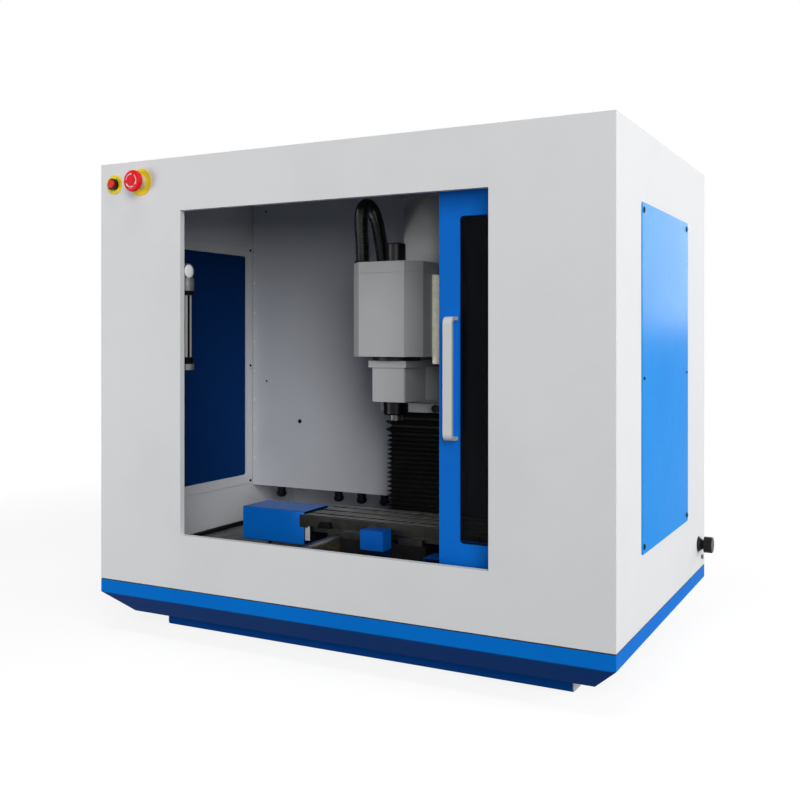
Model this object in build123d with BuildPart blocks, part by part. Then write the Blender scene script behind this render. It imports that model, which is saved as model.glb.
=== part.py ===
"""Enclosed bench CNC milling machine, modelled piece by piece.

Millimetres. The origin is on the floor under the middle of the cabinet,
+X runs to the operator's right, +Y into the machine and +Z up.
"""

import os
from math import pi, radians, tan

from build123d import *

# Shared clearances
overrun = 5
slide_gap = 0.3
running_gap = 0.05
seat_gap = 0.5

# Cabinet
cabinet_width = 1000
cabinet_depth = 660
cabinet_top = 888
sheet = 2

# Foot rails
rail_length = 814
rail_depth = 40
rail_height = 30
rail_wall = 3
rail_corner = 5
rail_setback = 86

# Base pan
pan_taper = 45
pan_taper_height = 42
pan_band = 26
pan_wall = 2.5
pan_flange = 14
pan_seam_height = 2
pan_seam_depth = 1.2

# Chip tray
tray_rise = 28
tray_clearance = 6

# Front panel
opening_width = 607
opening_shift = -3.5
opening_height = 593
sill_height = 99
return_depth = 12

# Side access panels
access_width = 346
access_height = 560
left_access_shift = -18
right_access_shift = -10
access_overlap = 27
service_frame_width = 21
service_frame_sheet = 1.5
access_sheet = 1.5
access_corner = 6
access_screw_inset = 12
panel_screw_diameter = 9
panel_screw_head = 2.4
panel_screw_round = 0.9
side_screw_diameter = 5
side_screw_head = 1

# Rear panel vents
vent_slot_length = 90
vent_slot_width = 6
vent_pitch_x = 240
vent_pitch_z = 18
vent_columns = 2
vent_rows = 8
vent_drop = 210

# Doors
door_setback = 45
door_track_pitch = 25
leaf_depth = 14
leaf_sheet = 2
front_leaf_width = 301
rear_leaf_width = 313
leaf_side_gap = 2
leaf_bottom_lap = 27
leaf_top_lap = 21
stile_width = 37
top_rail_width = 57
bottom_rail_width = 55
window_corner = 6
window_overlap = 12
window_thickness = 4
leaf_corner = 4

# Door handle
handle_length = 200
handle_width = 16
handle_bar = 6
handle_reach = 25
handle_bend = 12
handle_inset = 25.6
handle_drop = 2

# Door tracks
track_wall = 3
track_groove_gap = 2
track_lip = 8
track_head_gap = 4
track_leg = 14
track_end_gap = 1

# Push buttons
control_drop = 40
estop_inset = 99
estop_plate_diameter = 51
estop_mushroom_diameter = 40
estop_mushroom_height = 10.5
estop_skirt_height = 4
estop_edge = 4.5
estop_hub_diameter = 16
estop_hub_height = 1.3
estop_collar_diameter = 28
estop_collar_height = 11
estop_stem_diameter = 12
estop_travel = 5
start_inset = 34.5
start_plate_diameter = 37
start_bezel_diameter = 22
start_bezel_height = 7
start_cap_diameter = 15
start_cap_proud = 4
start_cap_round = 1
start_travel = 3
legend_plate_thickness = 1.2
button_thread_diameter = 16
start_thread_diameter = 17
contact_block_width = 30
contact_block_depth = 34
contact_block_corner = 2.5

# Electrical compartment
liner_gap = 3
liner_bottom = 214
liner_side_gap = 2
liner_hole_diameter = 7
liner_hole_place = (-365, 367)
rivet_hole_diameter = 3.5
rivet_hole_places = [(-457, 458), (-460, 850)]
gland_thread_diameter = 16
gland_hex = 24
gland_hex_height = 7
gland_dome_diameter = 22
gland_dome_height = 36
gland_row_setback = 32
module_width = 90
module_height = 170
module_depth = 90
module_pitch = 130
module_fin = 5
module_fin_count = 5
module_corner = 5
module_fin_depth = 12
module_count = 4

# Cable gland on the right side wall
side_gland_y = 268
side_gland_z = 149
side_gland_head = 31
side_gland_head_length = 16
side_gland_flange = 30
side_gland_flange_length = 4
side_gland_neck = 14
side_gland_neck_length = 8
side_gland_rib_depth = 1.2
side_gland_ribs = 12
earth_bolt_y = 300
earth_bolt_z = 118
earth_bolt_flats = 8
earth_bolt_head = 4

# Work light behind the left front column
lamp_x = -313
lamp_y = -303
lamp_bottom = 498
lamp_tube_diameter = 18
lamp_collar_diameter = 22
lower_collar_length = 13
upper_collar_length = 8
lamp_tube_length = 114
lamp_disc_diameter = 29
lamp_disc_thickness = 9
lamp_disc_rim = 2
lamp_disc_recess = 1
lower_bracket_height = 11
upper_bracket_height = 24
lamp_bracket_diameter = 25
lamp_arm_width = 22
lamp_arm_shift = 10

# Machine axes in plan
spindle_y = -68
column_front = 65
screw_lead = 5

# Guide rails and carriages
guide_width = 15
guide_height = 12
guide_clear = 5
guide_groove = 2
carriage_width = 30
carriage_length = 50

# Base casting
base_half_width = 110
base_foot_half_width = 150
base_foot_height = 14
base_top = 116
base_front = -225
base_rear = 190
base_wall = 16
base_deck = 24
pillow_width = 44
pillow_height = 30
pillow_length = 15

# Y axis
y_guide_spacing = 150
y_guide_rear_gap = 5
y_screw_height = 12
y_screw_diameter = 14
y_carriage_rise = 24
y_carriage_pitch = 70

# Saddle
saddle_y = -66
saddle_length = 184
saddle_depth = 120
saddle_top = 176
nut_length = 30
nut_width = 19

# Table
table_length = 410
table_left = -169
table_depth = 128
table_top = 215
table_thickness = 22
table_step = 3
t_slot_mouth = 10
t_slot_undercut = 14
t_slot_mouth_depth = 8
t_slot_undercut_depth = 6
t_slot_pitch = 40

# X axis
x_guide_spacing = 90
x_carriage_pitch = 120
x_screw_diameter = 12
x_screw_y = -86
x_screw_z = 186
x_channel_width = 21
x_channel_depth = 5
x_bearing_length = 14
x_bearing_width = 18
x_bearing_drop = 9.5
end_bracket_length = 11
end_bracket_front = -126
end_bracket_rear = -70
end_bracket_bottom = 164
end_bracket_foot = 12
end_bracket_cheek = 7

# Motors
motor_square = 56.4
motor_length = 76
motor_corner = 4

# Blue covers on the X axis and the limit switches
motor_cover_length = 145
motor_cover_depth = 88
motor_cover_bottom = 155
motor_cover_top = 220
cover_sheet = 1.5
cover_corner = 3
switch_box_width = 49
switch_box_depth = 35
switch_box_height = 36
switch_box_drop = 8
switch_box_y_x = 111
switch_box_y_front = -176
switch_box_y_z = 132
switch_foot = 12
switch_plate = 4
switch_foot_share = 0.65
dog_length = 30
dog_height = 12
dog_depth = 6
dog_inset = 50
dog_angle = 70

# Column
column_width = 104
column_depth = 85
column_top = 845
column_cavity_width = 60
column_back_wall = 12
column_tunnel_width = 50
column_tunnel_height = 26
column_web = 18
column_foot_width = 150
column_foot_height = 12
column_slot_top = 640
motor_shelf_top = 762
motor_shelf = 12

# Z axis
z_screw_diameter = 16
z_screw_setback = 43
z_screw_seat = 10
z_guide_bottom = 150
z_guide_overrun = 12
z_carriage_pitch = 170

# Head
carriage_front = 29
carriage_plate = 20
carriage_bottom = 410
carriage_top = 700
carriage_half_width = 75
ledge_depth = 24
ledge_height = 18
ledge_knob_x = 52
ledge_knob_diameter = 15
ledge_knob_length = 9
z_nut_bottom = 540
z_nut_height = 40
z_nut_width = 40
z_nut_reach = 18
spindle_block_front = -100
spindle_block_width = 71
spindle_block_bottom = 436
spindle_block_height = 65
spindle_block_edge = 4
spindle_lip_width = 80
spindle_lip_height = 13
spindle_lip_proud = 4
gusset_half_width = 66
gusset_start = -12
head_cover_front = -127
head_cover_face = 96
head_cover_width = 149
head_cover_bottom = 522
head_cover_top = 700
head_cover_screw_inset = 10
cover_seam_drop = 22
cover_seam_width = 1.2
cover_seam_depth = 0.7
head_screw_diameter = 6
head_screw_head = 1.8
light_bar_width = 14
light_bar_depth = 10
light_bar_bottom = 508
light_bar_top = 676
light_bar_y = -57
light_bar_edge = 2

# Spindle
nose_diameter = 48
nose_length = 25
nose_edge = 2
spindle_shaft_diameter = 36
spindle_tail_diameter = 24
spindle_tail_proud = 4
collet_bore_diameter = 10
collet_bore_depth = 45
collet_nut_diameter = 28
collet_nut_length = 13
collet_nut_bore = 12
collet_nut_flats = 6
collet_nut_taper = 3
spindle_motor_diameter = 92
spindle_motor_top = 664
spindle_motor_flange = 12
spindle_motor_fin = 3
spindle_motor_fins = 24
drawbar_cap_diameter = 38
drawbar_cap_height = 38
drawbar_cap_edge = 2
drawbar_cap_wall = 5
drawbar_cap_roof = 16

# Bellows in front of the column
bellows_half_width = 74
bellows_back = 50
bellows_front = 36
bellows_pleat_depth = 9
bellows_bottom = 146
bellows_bracket = 8
bellows_bracket_front = 33
coarse_pleats = 3
coarse_pitch = 16
fine_pleats = 27

# Cords
head_conduit_diameter = 27
head_conduit_route = [
    (-60, -92, 700),
    (-60, -92, 732),
    (-64, -90, 768),
    (-70, -79, 799),
    (-76, -57, 817),
    (-79, -30, 820),
    (-82, -6, 809),
    (-85, 14, 787),
    (-88, 31, 757),
    (-91, 45, 725),
    (-93, 59, 692),
    (-94, 77, 660),
    (-93, 99, 631),
    (-92, 124, 612),
    (-92, 153, 612),
]
motor_lead_diameter = 10
motor_lead_route = [
    (-92, -56, 168),
    (-114, -56, 168),
    (-137, -60, 163),
    (-160, -69, 152),
    (-185, -80, 143),
    (-211, -87, 138),
    (-237, -88, 135),
    (-255, -86, 134),
    (-268, -83, 136),
    (-276, -81, 141),
    (-279, -80, 148),
    (-279, -80, 155),
]

# Worked out from the values above
half_width = cabinet_width / 2
half_depth = cabinet_depth / 2
front_y = -half_depth
rear_y = half_depth
pan_shoulder = rail_height + pan_taper_height
pan_top = pan_shoulder + pan_band
panel_height = cabinet_top - pan_top
panel_middle = (cabinet_top + pan_top) / 2
opening_bottom = pan_top + sill_height
opening_middle = opening_bottom + opening_height / 2
control_z = cabinet_top - control_drop
estop_x = estop_inset - half_width
start_x = start_inset - half_width
leaf_bottom = opening_bottom - leaf_bottom_lap
leaf_top = opening_bottom + opening_height + leaf_top_lap
leaf_height = leaf_top - leaf_bottom
leaf_middle = (leaf_top + leaf_bottom) / 2
leaf_right = half_width - sheet - leaf_side_gap
front_leaf_y = front_y + door_setback
rear_leaf_y = front_leaf_y + door_track_pitch
table_front = saddle_y - table_depth / 2
table_right = table_left + table_length
table_underside = table_top - table_thickness
saddle_bottom = base_top + y_carriage_rise
y_screw_z = base_top + y_screw_height
column_rear = column_front + column_depth
z_screw_y = column_front + z_screw_setback
liner_y = column_rear + liner_gap
gland_row_y = liner_y + gland_row_setback
carriage_back = carriage_front + carriage_plate
spindle_lip_bottom = spindle_block_bottom + spindle_block_height
spindle_lip_top = spindle_lip_bottom + spindle_lip_height
nose_top = spindle_block_bottom - slide_gap
nose_bottom = nose_top - nose_length


def facing(y):
    """Plane that looks to the front at depth y, with X to the right and Z up."""
    return Plane.XZ.offset(-y)


def across(x):
    """Plane that looks to the right at place x, with Y to the right and Z up."""
    return Plane.YZ.offset(x)


def level(z):
    """Horizontal plane at height z."""
    return Plane.XY.offset(z)


# Foot rails: two rectangular tubes across the floor
with BuildPart() as foot_rails:
    rail_offset = half_depth - rail_setback - rail_depth / 2
    for rail_y in (-rail_offset, rail_offset):
        with BuildSketch(across(-rail_length / 2)):
            with Locations((rail_y, rail_height / 2)):
                RectangleRounded(rail_depth, rail_height, rail_corner)
                RectangleRounded(
                    rail_depth - 2 * rail_wall,
                    rail_height - 2 * rail_wall,
                    rail_corner - rail_wall,
                    mode=Mode.SUBTRACT,
                )
        extrude(amount=rail_length)

# Base pan: tapered coolant pan with an inward flange and a shadow seam under the walls
with BuildPart() as base_pan:
    with BuildSketch(level(rail_height)):
        Rectangle(cabinet_width - 2 * pan_taper, cabinet_depth - 2 * pan_taper)
    with BuildSketch(level(pan_shoulder)):
        Rectangle(cabinet_width, cabinet_depth)
    loft()
    with BuildSketch(level(pan_shoulder)):
        Rectangle(cabinet_width, cabinet_depth)
    extrude(amount=pan_band)
    offset(amount=-pan_wall, openings=base_pan.faces().sort_by(Axis.Z)[-1:])
    with BuildSketch(level(pan_top - pan_wall)):
        Rectangle(cabinet_width, cabinet_depth)
        Rectangle(cabinet_width - 2 * pan_flange, cabinet_depth - 2 * pan_flange, mode=Mode.SUBTRACT)
    extrude(amount=pan_wall)
    with BuildSketch(level(pan_top - pan_seam_height)):
        Rectangle(cabinet_width, cabinet_depth)
        Rectangle(
            cabinet_width - 2 * pan_seam_depth, cabinet_depth - 2 * pan_seam_depth, mode=Mode.SUBTRACT
        )
    extrude(amount=pan_seam_height, mode=Mode.SUBTRACT)

# Chip tray: folded sheet inside the walls, notched for the base casting
with BuildPart() as chip_tray:
    tray_width = cabinet_width - 2 * sheet
    tray_front = front_y + sheet
    tray_depth = liner_y - seat_gap - tray_front
    tray_middle = tray_front + tray_depth / 2
    notch_front = base_front - tray_clearance
    notch_depth = tray_front + tray_depth - notch_front
    notch_width = 2 * (base_half_width + tray_clearance)
    with BuildSketch(level(pan_top)):
        with Locations((0, tray_middle)):
            Rectangle(tray_width, tray_depth)
    extrude(amount=tray_rise)
    with BuildSketch(level(pan_top)):
        with Locations((0, tray_middle + sheet)):
            Rectangle(tray_width - 2 * sheet, tray_depth)
    extrude(amount=tray_rise - sheet, mode=Mode.SUBTRACT)
    with BuildSketch(level(pan_top)):
        with Locations((0, notch_front + notch_depth / 2)):
            Rectangle(notch_width, notch_depth + overrun)
    extrude(amount=tray_rise, mode=Mode.SUBTRACT)

# Front panel: one sheet with returns round the door opening and two control holes
with BuildPart() as front_panel:
    with BuildSketch(facing(front_y + sheet)):
        with Locations((0, panel_middle)):
            Rectangle(cabinet_width, panel_height)
        with Locations((opening_shift, opening_middle)):
            Rectangle(opening_width, opening_height, mode=Mode.SUBTRACT)
        with Locations((estop_x, control_z)):
            Circle(button_thread_diameter / 2, mode=Mode.SUBTRACT)
        with Locations((start_x, control_z)):
            Circle(start_thread_diameter / 2, mode=Mode.SUBTRACT)
    extrude(amount=sheet)
    with BuildSketch(facing(front_y + return_depth)):
        with Locations((opening_shift, opening_middle)):
            Rectangle(opening_width + 2 * sheet, opening_height + 2 * sheet)
            Rectangle(opening_width, opening_height, mode=Mode.SUBTRACT)
    extrude(amount=return_depth)

# Side panels: sheets with a framed service opening behind each access panel
wall_depth = cabinet_depth - 2 * sheet
service_width = access_width - 2 * access_overlap
service_height = access_height - 2 * access_overlap

frame_width = service_width + 2 * service_frame_width
frame_height = service_height + 2 * service_frame_width

with BuildPart() as left_side_panel:
    with BuildSketch(across(-half_width)):
        with Locations((0, panel_middle)):
            Rectangle(wall_depth, panel_height)
        with Locations((left_access_shift, panel_middle)):
            RectangleRounded(service_width, service_height, access_corner, mode=Mode.SUBTRACT)
    extrude(amount=sheet)
    with BuildSketch(across(sheet - half_width)):
        with Locations((left_access_shift, panel_middle)):
            Rectangle(frame_width, frame_height)
            RectangleRounded(service_width, service_height, access_corner, mode=Mode.SUBTRACT)
    extrude(amount=service_frame_sheet)

with BuildPart() as right_side_panel:
    with BuildSketch(across(half_width)):
        with Locations((0, panel_middle)):
            Rectangle(wall_depth, panel_height)
        with Locations((right_access_shift, panel_middle)):
            RectangleRounded(service_width, service_height, access_corner, mode=Mode.SUBTRACT)
        with Locations((side_gland_y, side_gland_z)):
            Circle(side_gland_neck / 2, mode=Mode.SUBTRACT)
    extrude(amount=-sheet)
    with BuildSketch(across(half_width - sheet)):
        with Locations((right_access_shift, panel_middle)):
            Rectangle(frame_width, frame_height)
            RectangleRounded(service_width, service_height, access_corner, mode=Mode.SUBTRACT)
    extrude(amount=-service_frame_sheet)

# Roof: a sheet let in between the four walls
with BuildPart() as roof_panel:
    with BuildSketch(level(cabinet_top - sheet)):
        Rectangle(cabinet_width - 2 * sheet, wall_depth)
    extrude(amount=sheet)

# Rear panel: ventilated behind the drives
with BuildPart() as rear_panel:
    with BuildSketch(facing(rear_y)):
        with Locations((0, panel_middle)):
            Rectangle(cabinet_width, panel_height)
        with Locations((0, cabinet_top - vent_drop)):
            with GridLocations(vent_pitch_x, vent_pitch_z, vent_columns, vent_rows):
                SlotOverall(vent_slot_length, vent_slot_width, mode=Mode.SUBTRACT)
    extrude(amount=sheet)

# Access panels: proud sheets screwed over the service openings
access_sides = ((-1, left_access_shift), (1, right_access_shift))

with BuildPart() as access_panels:
    for side, shift in access_sides:
        with BuildSketch(across(side * half_width)):
            with Locations((shift, panel_middle)):
                RectangleRounded(access_width, access_height, access_corner)
        extrude(amount=side * access_sheet)

# Screws on each access panel, large at the corners and small half way up, and the earth bolt
screw_span_y = access_width - 2 * access_screw_inset
screw_span_z = access_height - 2 * access_screw_inset

with BuildPart() as panel_screws:
    for side, shift in access_sides:
        with BuildSketch(across(side * (half_width + access_sheet))):
            with Locations((shift, panel_middle)):
                with GridLocations(screw_span_y, screw_span_z, 2, 2):
                    Circle(panel_screw_diameter / 2)
        extrude(amount=side * panel_screw_head)
    heads = panel_screws.faces().filter_by(Axis.X)
    outer_heads = heads.group_by(Axis.X)[0] + heads.group_by(Axis.X)[-1]
    chamfer(outer_heads.edges(), panel_screw_round)
    for side, shift in access_sides:
        with BuildSketch(across(side * (half_width + access_sheet))):
            with Locations((shift, panel_middle)):
                with GridLocations(screw_span_y, screw_span_z, 2, 1):
                    Circle(side_screw_diameter / 2)
        extrude(amount=side * side_screw_head)
    with BuildSketch(across(half_width)):
        with Locations((earth_bolt_y, earth_bolt_z)):
            RegularPolygon(earth_bolt_flats / 2, 6, major_radius=False)
    extrude(amount=earth_bolt_head)

# Door tracks: two-groove extrusions hung behind the front panel
track_front = front_leaf_y - track_groove_gap - track_wall
groove_width = leaf_depth + 2 * track_groove_gap
track_back = rear_leaf_y + leaf_depth + track_groove_gap + track_wall
track_length = cabinet_width - 2 * sheet - 2 * track_end_gap
panel_back = front_y + sheet

with BuildPart() as upper_door_track:
    upper_floor = leaf_top + track_head_gap
    with BuildSketch(across(-track_length / 2)):
        with BuildLine():
            Polyline(
                (panel_back, upper_floor + track_wall),
                (panel_back, upper_floor - track_leg),
                (panel_back + track_wall, upper_floor - track_leg),
                (panel_back + track_wall, upper_floor),
                (track_front, upper_floor),
                (track_front, leaf_top - track_lip),
                (track_back, leaf_top - track_lip),
                (track_back, upper_floor + track_wall),
                close=True,
            )
        make_face()
        for leaf_y in (front_leaf_y, rear_leaf_y):
            with Locations((leaf_y + leaf_depth / 2, upper_floor - (track_lip + track_head_gap) / 2)):
                Rectangle(groove_width, track_lip + track_head_gap, mode=Mode.SUBTRACT)
    extrude(amount=track_length)

with BuildPart() as lower_door_track:
    lower_floor = leaf_bottom - slide_gap
    lower_lip = lower_floor + track_lip
    with BuildSketch(across(-track_length / 2)):
        with BuildLine():
            Polyline(
                (panel_back, lower_floor - track_wall),
                (panel_back, lower_floor - track_wall - track_leg),
                (panel_back + track_wall, lower_floor - track_wall - track_leg),
                (panel_back + track_wall, lower_floor - 2 * track_wall),
                (track_back, lower_floor - 2 * track_wall),
                (track_back, lower_lip),
                (track_front, lower_lip),
                (track_front, lower_floor - track_wall),
                close=True,
            )
        make_face()
        for leaf_y in (front_leaf_y, rear_leaf_y):
            with Locations((leaf_y + leaf_depth / 2, lower_floor + track_lip / 2)):
                Rectangle(groove_width, track_lip, mode=Mode.SUBTRACT)
    extrude(amount=track_length)


def door_leaf(width, leaf_y):
    """Folded frame of one sliding leaf: a face sheet with deep returns and a window."""
    middle = leaf_right - width / 2
    window_width = width - 2 * stile_width
    window_height = leaf_height - top_rail_width - bottom_rail_width
    window_middle = leaf_bottom + bottom_rail_width + window_height / 2
    with BuildPart() as frame:
        with BuildSketch(facing(leaf_y + leaf_depth)):
            with Locations((middle, leaf_middle)):
                RectangleRounded(width, leaf_height, leaf_corner)
                RectangleRounded(
                    width - 2 * leaf_sheet,
                    leaf_height - 2 * leaf_sheet,
                    leaf_corner - leaf_sheet,
                    mode=Mode.SUBTRACT,
                )
        extrude(amount=leaf_depth)
        with BuildSketch(facing(leaf_y + leaf_sheet)):
            with Locations((middle, leaf_middle)):
                RectangleRounded(width, leaf_height, leaf_corner)
            with Locations((middle, window_middle)):
                RectangleRounded(window_width, window_height, window_corner, mode=Mode.SUBTRACT)
        extrude(amount=leaf_sheet)
    with BuildPart() as window:
        with BuildSketch(facing(leaf_y + leaf_sheet + window_thickness)):
            with Locations((middle, window_middle)):
                RectangleRounded(
                    window_width + 2 * window_overlap, window_height + 2 * window_overlap, window_corner
                )
        extrude(amount=window_thickness)
    return frame, window


front_door_frame, front_door_window = door_leaf(front_leaf_width, front_leaf_y)
rear_door_frame, rear_door_window = door_leaf(rear_leaf_width, rear_leaf_y)

# Door handle: a flat bar bent into a bow on the leading stile
with BuildPart() as front_door_handle:
    handle_x = leaf_right - front_leaf_width + handle_inset
    handle_middle = opening_middle - handle_drop
    with BuildSketch(across(handle_x - handle_width / 2)):
        with Locations((front_leaf_y, handle_middle)):
            RectangleRounded(2 * handle_reach, handle_length, handle_bend)
            RectangleRounded(
                2 * (handle_reach - handle_bar),
                handle_length - 2 * handle_bar,
                handle_bend - handle_bar,
                mode=Mode.SUBTRACT,
            )
        with Locations((front_leaf_y + handle_reach / 2, handle_middle)):
            Rectangle(handle_reach, handle_length, mode=Mode.SUBTRACT)
    extrude(amount=handle_width)


def turning(origin, radial, along):
    """Plane for a turned profile: its x is the radius and its y runs along the axis."""
    return Plane(origin=origin, x_dir=radial, z_dir=Vector(radial).cross(Vector(along)))


# Legend plates under the two push buttons
with BuildPart() as legend_plates:
    with BuildSketch(facing(front_y)):
        with Locations((estop_x, control_z)):
            Circle(estop_plate_diameter / 2)
            Circle(button_thread_diameter / 2, mode=Mode.SUBTRACT)
        with Locations((start_x, control_z)):
            Circle(start_plate_diameter / 2)
            Circle(start_thread_diameter / 2, mode=Mode.SUBTRACT)
    extrude(amount=legend_plate_thickness)

plate_face = front_y - legend_plate_thickness

# Emergency stop body: collar, threaded neck through the panel and contact block
with BuildPart() as estop_body:
    with BuildSketch(facing(plate_face)):
        with Locations((estop_x, control_z)):
            Circle(estop_collar_diameter / 2)
    extrude(amount=estop_collar_height)
    with BuildSketch(facing(plate_face)):
        with Locations((estop_x, control_z)):
            Circle(button_thread_diameter / 2)
    extrude(amount=-(legend_plate_thickness + sheet))
    with BuildSketch(facing(panel_back)):
        with Locations((estop_x, control_z)):
            RectangleRounded(contact_block_width, contact_block_width, contact_block_corner)
    extrude(amount=-contact_block_depth)
    with BuildSketch(facing(plate_face - estop_collar_height)):
        with Locations((estop_x, control_z)):
            Circle(estop_stem_diameter / 2 + slide_gap)
    extrude(amount=-(estop_collar_height + legend_plate_thickness + sheet + estop_travel), mode=Mode.SUBTRACT)

# Emergency stop mushroom: turned cap with a raised hub, on a stem
cap_back = plate_face - estop_collar_height - estop_travel - slide_gap
estop_centre = (estop_x, cap_back, control_z)

with BuildPart() as estop_mushroom:
    cap_radius = estop_mushroom_diameter / 2
    stem_end = -(estop_travel + estop_collar_height)
    with BuildSketch(turning(estop_centre, (1, 0, 0), (0, -1, 0))):
        with BuildLine():
            Polyline(
                (estop_hub_diameter / 2, estop_mushroom_height - estop_hub_height),
                (estop_hub_diameter / 2, estop_mushroom_height),
                (0, estop_mushroom_height),
                (0, stem_end),
                (estop_stem_diameter / 2, stem_end),
                (estop_stem_diameter / 2, 0),
                (cap_radius, 0),
                (cap_radius, estop_skirt_height),
            )
            TangentArc(
                (cap_radius, estop_skirt_height),
                (cap_radius - estop_edge, estop_skirt_height + estop_edge),
                tangent=(0, 1),
            )
            Line(
                (cap_radius - estop_edge, estop_skirt_height + estop_edge),
                (estop_hub_diameter / 2, estop_mushroom_height - estop_hub_height),
            )
        make_face()
    revolve(axis=Axis(estop_centre, (0, -1, 0)))

# Small push button: bezel through the panel with a sprung cap
with BuildPart() as start_button_body:
    with BuildSketch(facing(plate_face)):
        with Locations((start_x, control_z)):
            Circle(start_bezel_diameter / 2)
    extrude(amount=start_bezel_height)
    with BuildSketch(facing(plate_face)):
        with Locations((start_x, control_z)):
            Circle(start_thread_diameter / 2)
    extrude(amount=-(legend_plate_thickness + sheet))
    with BuildSketch(facing(panel_back)):
        with Locations((start_x, control_z)):
            RectangleRounded(contact_block_width, contact_block_width, contact_block_corner)
    extrude(amount=-contact_block_depth)
    with BuildSketch(facing(plate_face - start_bezel_height)):
        with Locations((start_x, control_z)):
            Circle(start_cap_diameter / 2 + slide_gap)
    extrude(amount=-(start_bezel_height + start_travel), mode=Mode.SUBTRACT)

with BuildPart() as start_button:
    with BuildSketch(facing(plate_face)):
        with Locations((start_x, control_z)):
            Circle(start_cap_diameter / 2)
    extrude(amount=start_bezel_height + start_cap_proud)
    cap_rim = start_button.faces().sort_by(Axis.Y)[0].edges()
    fillet(cap_rim, start_cap_round)

# Electrical compartment: a folded liner in front of the drives, open to the rear panel
gland_x_shares = [-0.437, -0.281, -0.221, -0.162]
gland_places = [share * cabinet_width for share in gland_x_shares]
liner_width = cabinet_width - 2 * sheet - 2 * liner_side_gap
liner_top = cabinet_top - sheet
liner_rear = rear_y - sheet

with BuildPart() as electrical_liner:
    with BuildSketch(across(-liner_width / 2)):
        with BuildLine():
            Polyline(
                (liner_y, liner_top),
                (liner_y, liner_bottom),
                (liner_rear, liner_bottom),
                (liner_rear, liner_bottom + sheet),
                (liner_y + sheet, liner_bottom + sheet),
                (liner_y + sheet, liner_top),
                close=True,
            )
        make_face()
    extrude(amount=liner_width)
    with BuildSketch(level(liner_bottom)):
        for gland_x in gland_places:
            with Locations((gland_x, gland_row_y)):
                Circle(gland_thread_diameter / 2)
    extrude(amount=sheet, mode=Mode.SUBTRACT)
    with BuildSketch(facing(liner_y)):
        with Locations(liner_hole_place):
            Circle(liner_hole_diameter / 2)
        with Locations(*rivet_hole_places):
            Circle(rivet_hole_diameter / 2)
    extrude(amount=-sheet, mode=Mode.SUBTRACT)

# Cable glands that point down from the liner's floor
with BuildPart() as cable_glands:
    with BuildSketch(level(liner_bottom)):
        for gland_x in gland_places:
            with Locations((gland_x, gland_row_y)):
                RegularPolygon(gland_hex / 2, 6, major_radius=False)
    extrude(amount=-gland_hex_height)
    with BuildSketch(level(liner_bottom - gland_hex_height)):
        for gland_x in gland_places:
            with Locations((gland_x, gland_row_y)):
                Circle(gland_dome_diameter / 2)
    extrude(amount=-gland_dome_height)
    dome_rims = cable_glands.faces().sort_by(Axis.Z)[: len(gland_places)].edges()
    chamfer(dome_rims, gland_hex_height / 2)
    with BuildSketch(level(liner_bottom)):
        for gland_x in gland_places:
            with Locations((gland_x, gland_row_y)):
                Circle(gland_thread_diameter / 2)
    extrude(amount=sheet + gland_hex_height)

# Drive and supply modules with cooling fins, on the inside of the rear panel
with BuildPart() as electrical_modules:
    module_middle = (liner_bottom + liner_top) / 2
    module_back = rear_y - sheet
    with BuildSketch(facing(module_back)):
        with Locations((0, module_middle)):
            with GridLocations(module_pitch, module_height, module_count, 1):
                RectangleRounded(module_width, module_height, module_corner)
    extrude(amount=module_depth)
    with BuildSketch(facing(module_back - module_depth + module_fin_depth)):
        with Locations((0, module_middle)):
            with GridLocations(module_pitch, module_height, module_count, 1):
                with GridLocations(3 * module_fin, module_height, module_fin_count, 1):
                    Rectangle(module_fin, module_height - 2 * module_fin_depth)
    extrude(amount=module_fin_depth, mode=Mode.SUBTRACT)

# Gland on the right wall: flange, neck and ribbed cap nut
with BuildPart() as side_gland:
    gland_origin = (half_width, side_gland_y, side_gland_z)
    cap_start = side_gland_flange_length + side_gland_neck_length
    cap_end = cap_start + side_gland_head_length
    with BuildSketch(turning(gland_origin, (0, 1, 0), (1, 0, 0))):
        with BuildLine():
            Polyline(
                (0, -sheet),
                (side_gland_neck / 2, -sheet),
                (side_gland_neck / 2, 0),
                (side_gland_flange / 2, 0),
                (side_gland_flange / 2, side_gland_flange_length / 2),
                (side_gland_neck / 2, cap_start),
                (side_gland_head / 2, cap_start),
                (side_gland_head / 2, cap_end - side_gland_rib_depth),
                (side_gland_head / 2 - side_gland_rib_depth, cap_end),
                (0, cap_end),
                close=True,
            )
        make_face()
    revolve(axis=Axis(gland_origin, (1, 0, 0)))
    with BuildSketch(across(half_width + cap_start)):
        with Locations((side_gland_y, side_gland_z)):
            with PolarLocations(side_gland_head / 2, side_gland_ribs):
                Circle(side_gland_rib_depth)
    extrude(amount=side_gland_head_length, mode=Mode.SUBTRACT)

# Work light: a tube in two brackets behind the left front column, with a round lens on top
lower_collar_bottom = lamp_bottom + lower_bracket_height
lamp_tube_bottom = lower_collar_bottom + lower_collar_length
upper_collar_bottom = lamp_tube_bottom + lamp_tube_length
upper_bracket_bottom = upper_collar_bottom + upper_collar_length
lamp_tube_top = upper_bracket_bottom + upper_bracket_height
lamp_disc_z = lamp_tube_top + lamp_disc_diameter / 2 - lamp_disc_rim
lamp_disc_face = lamp_x + lamp_disc_thickness / 2

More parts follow.
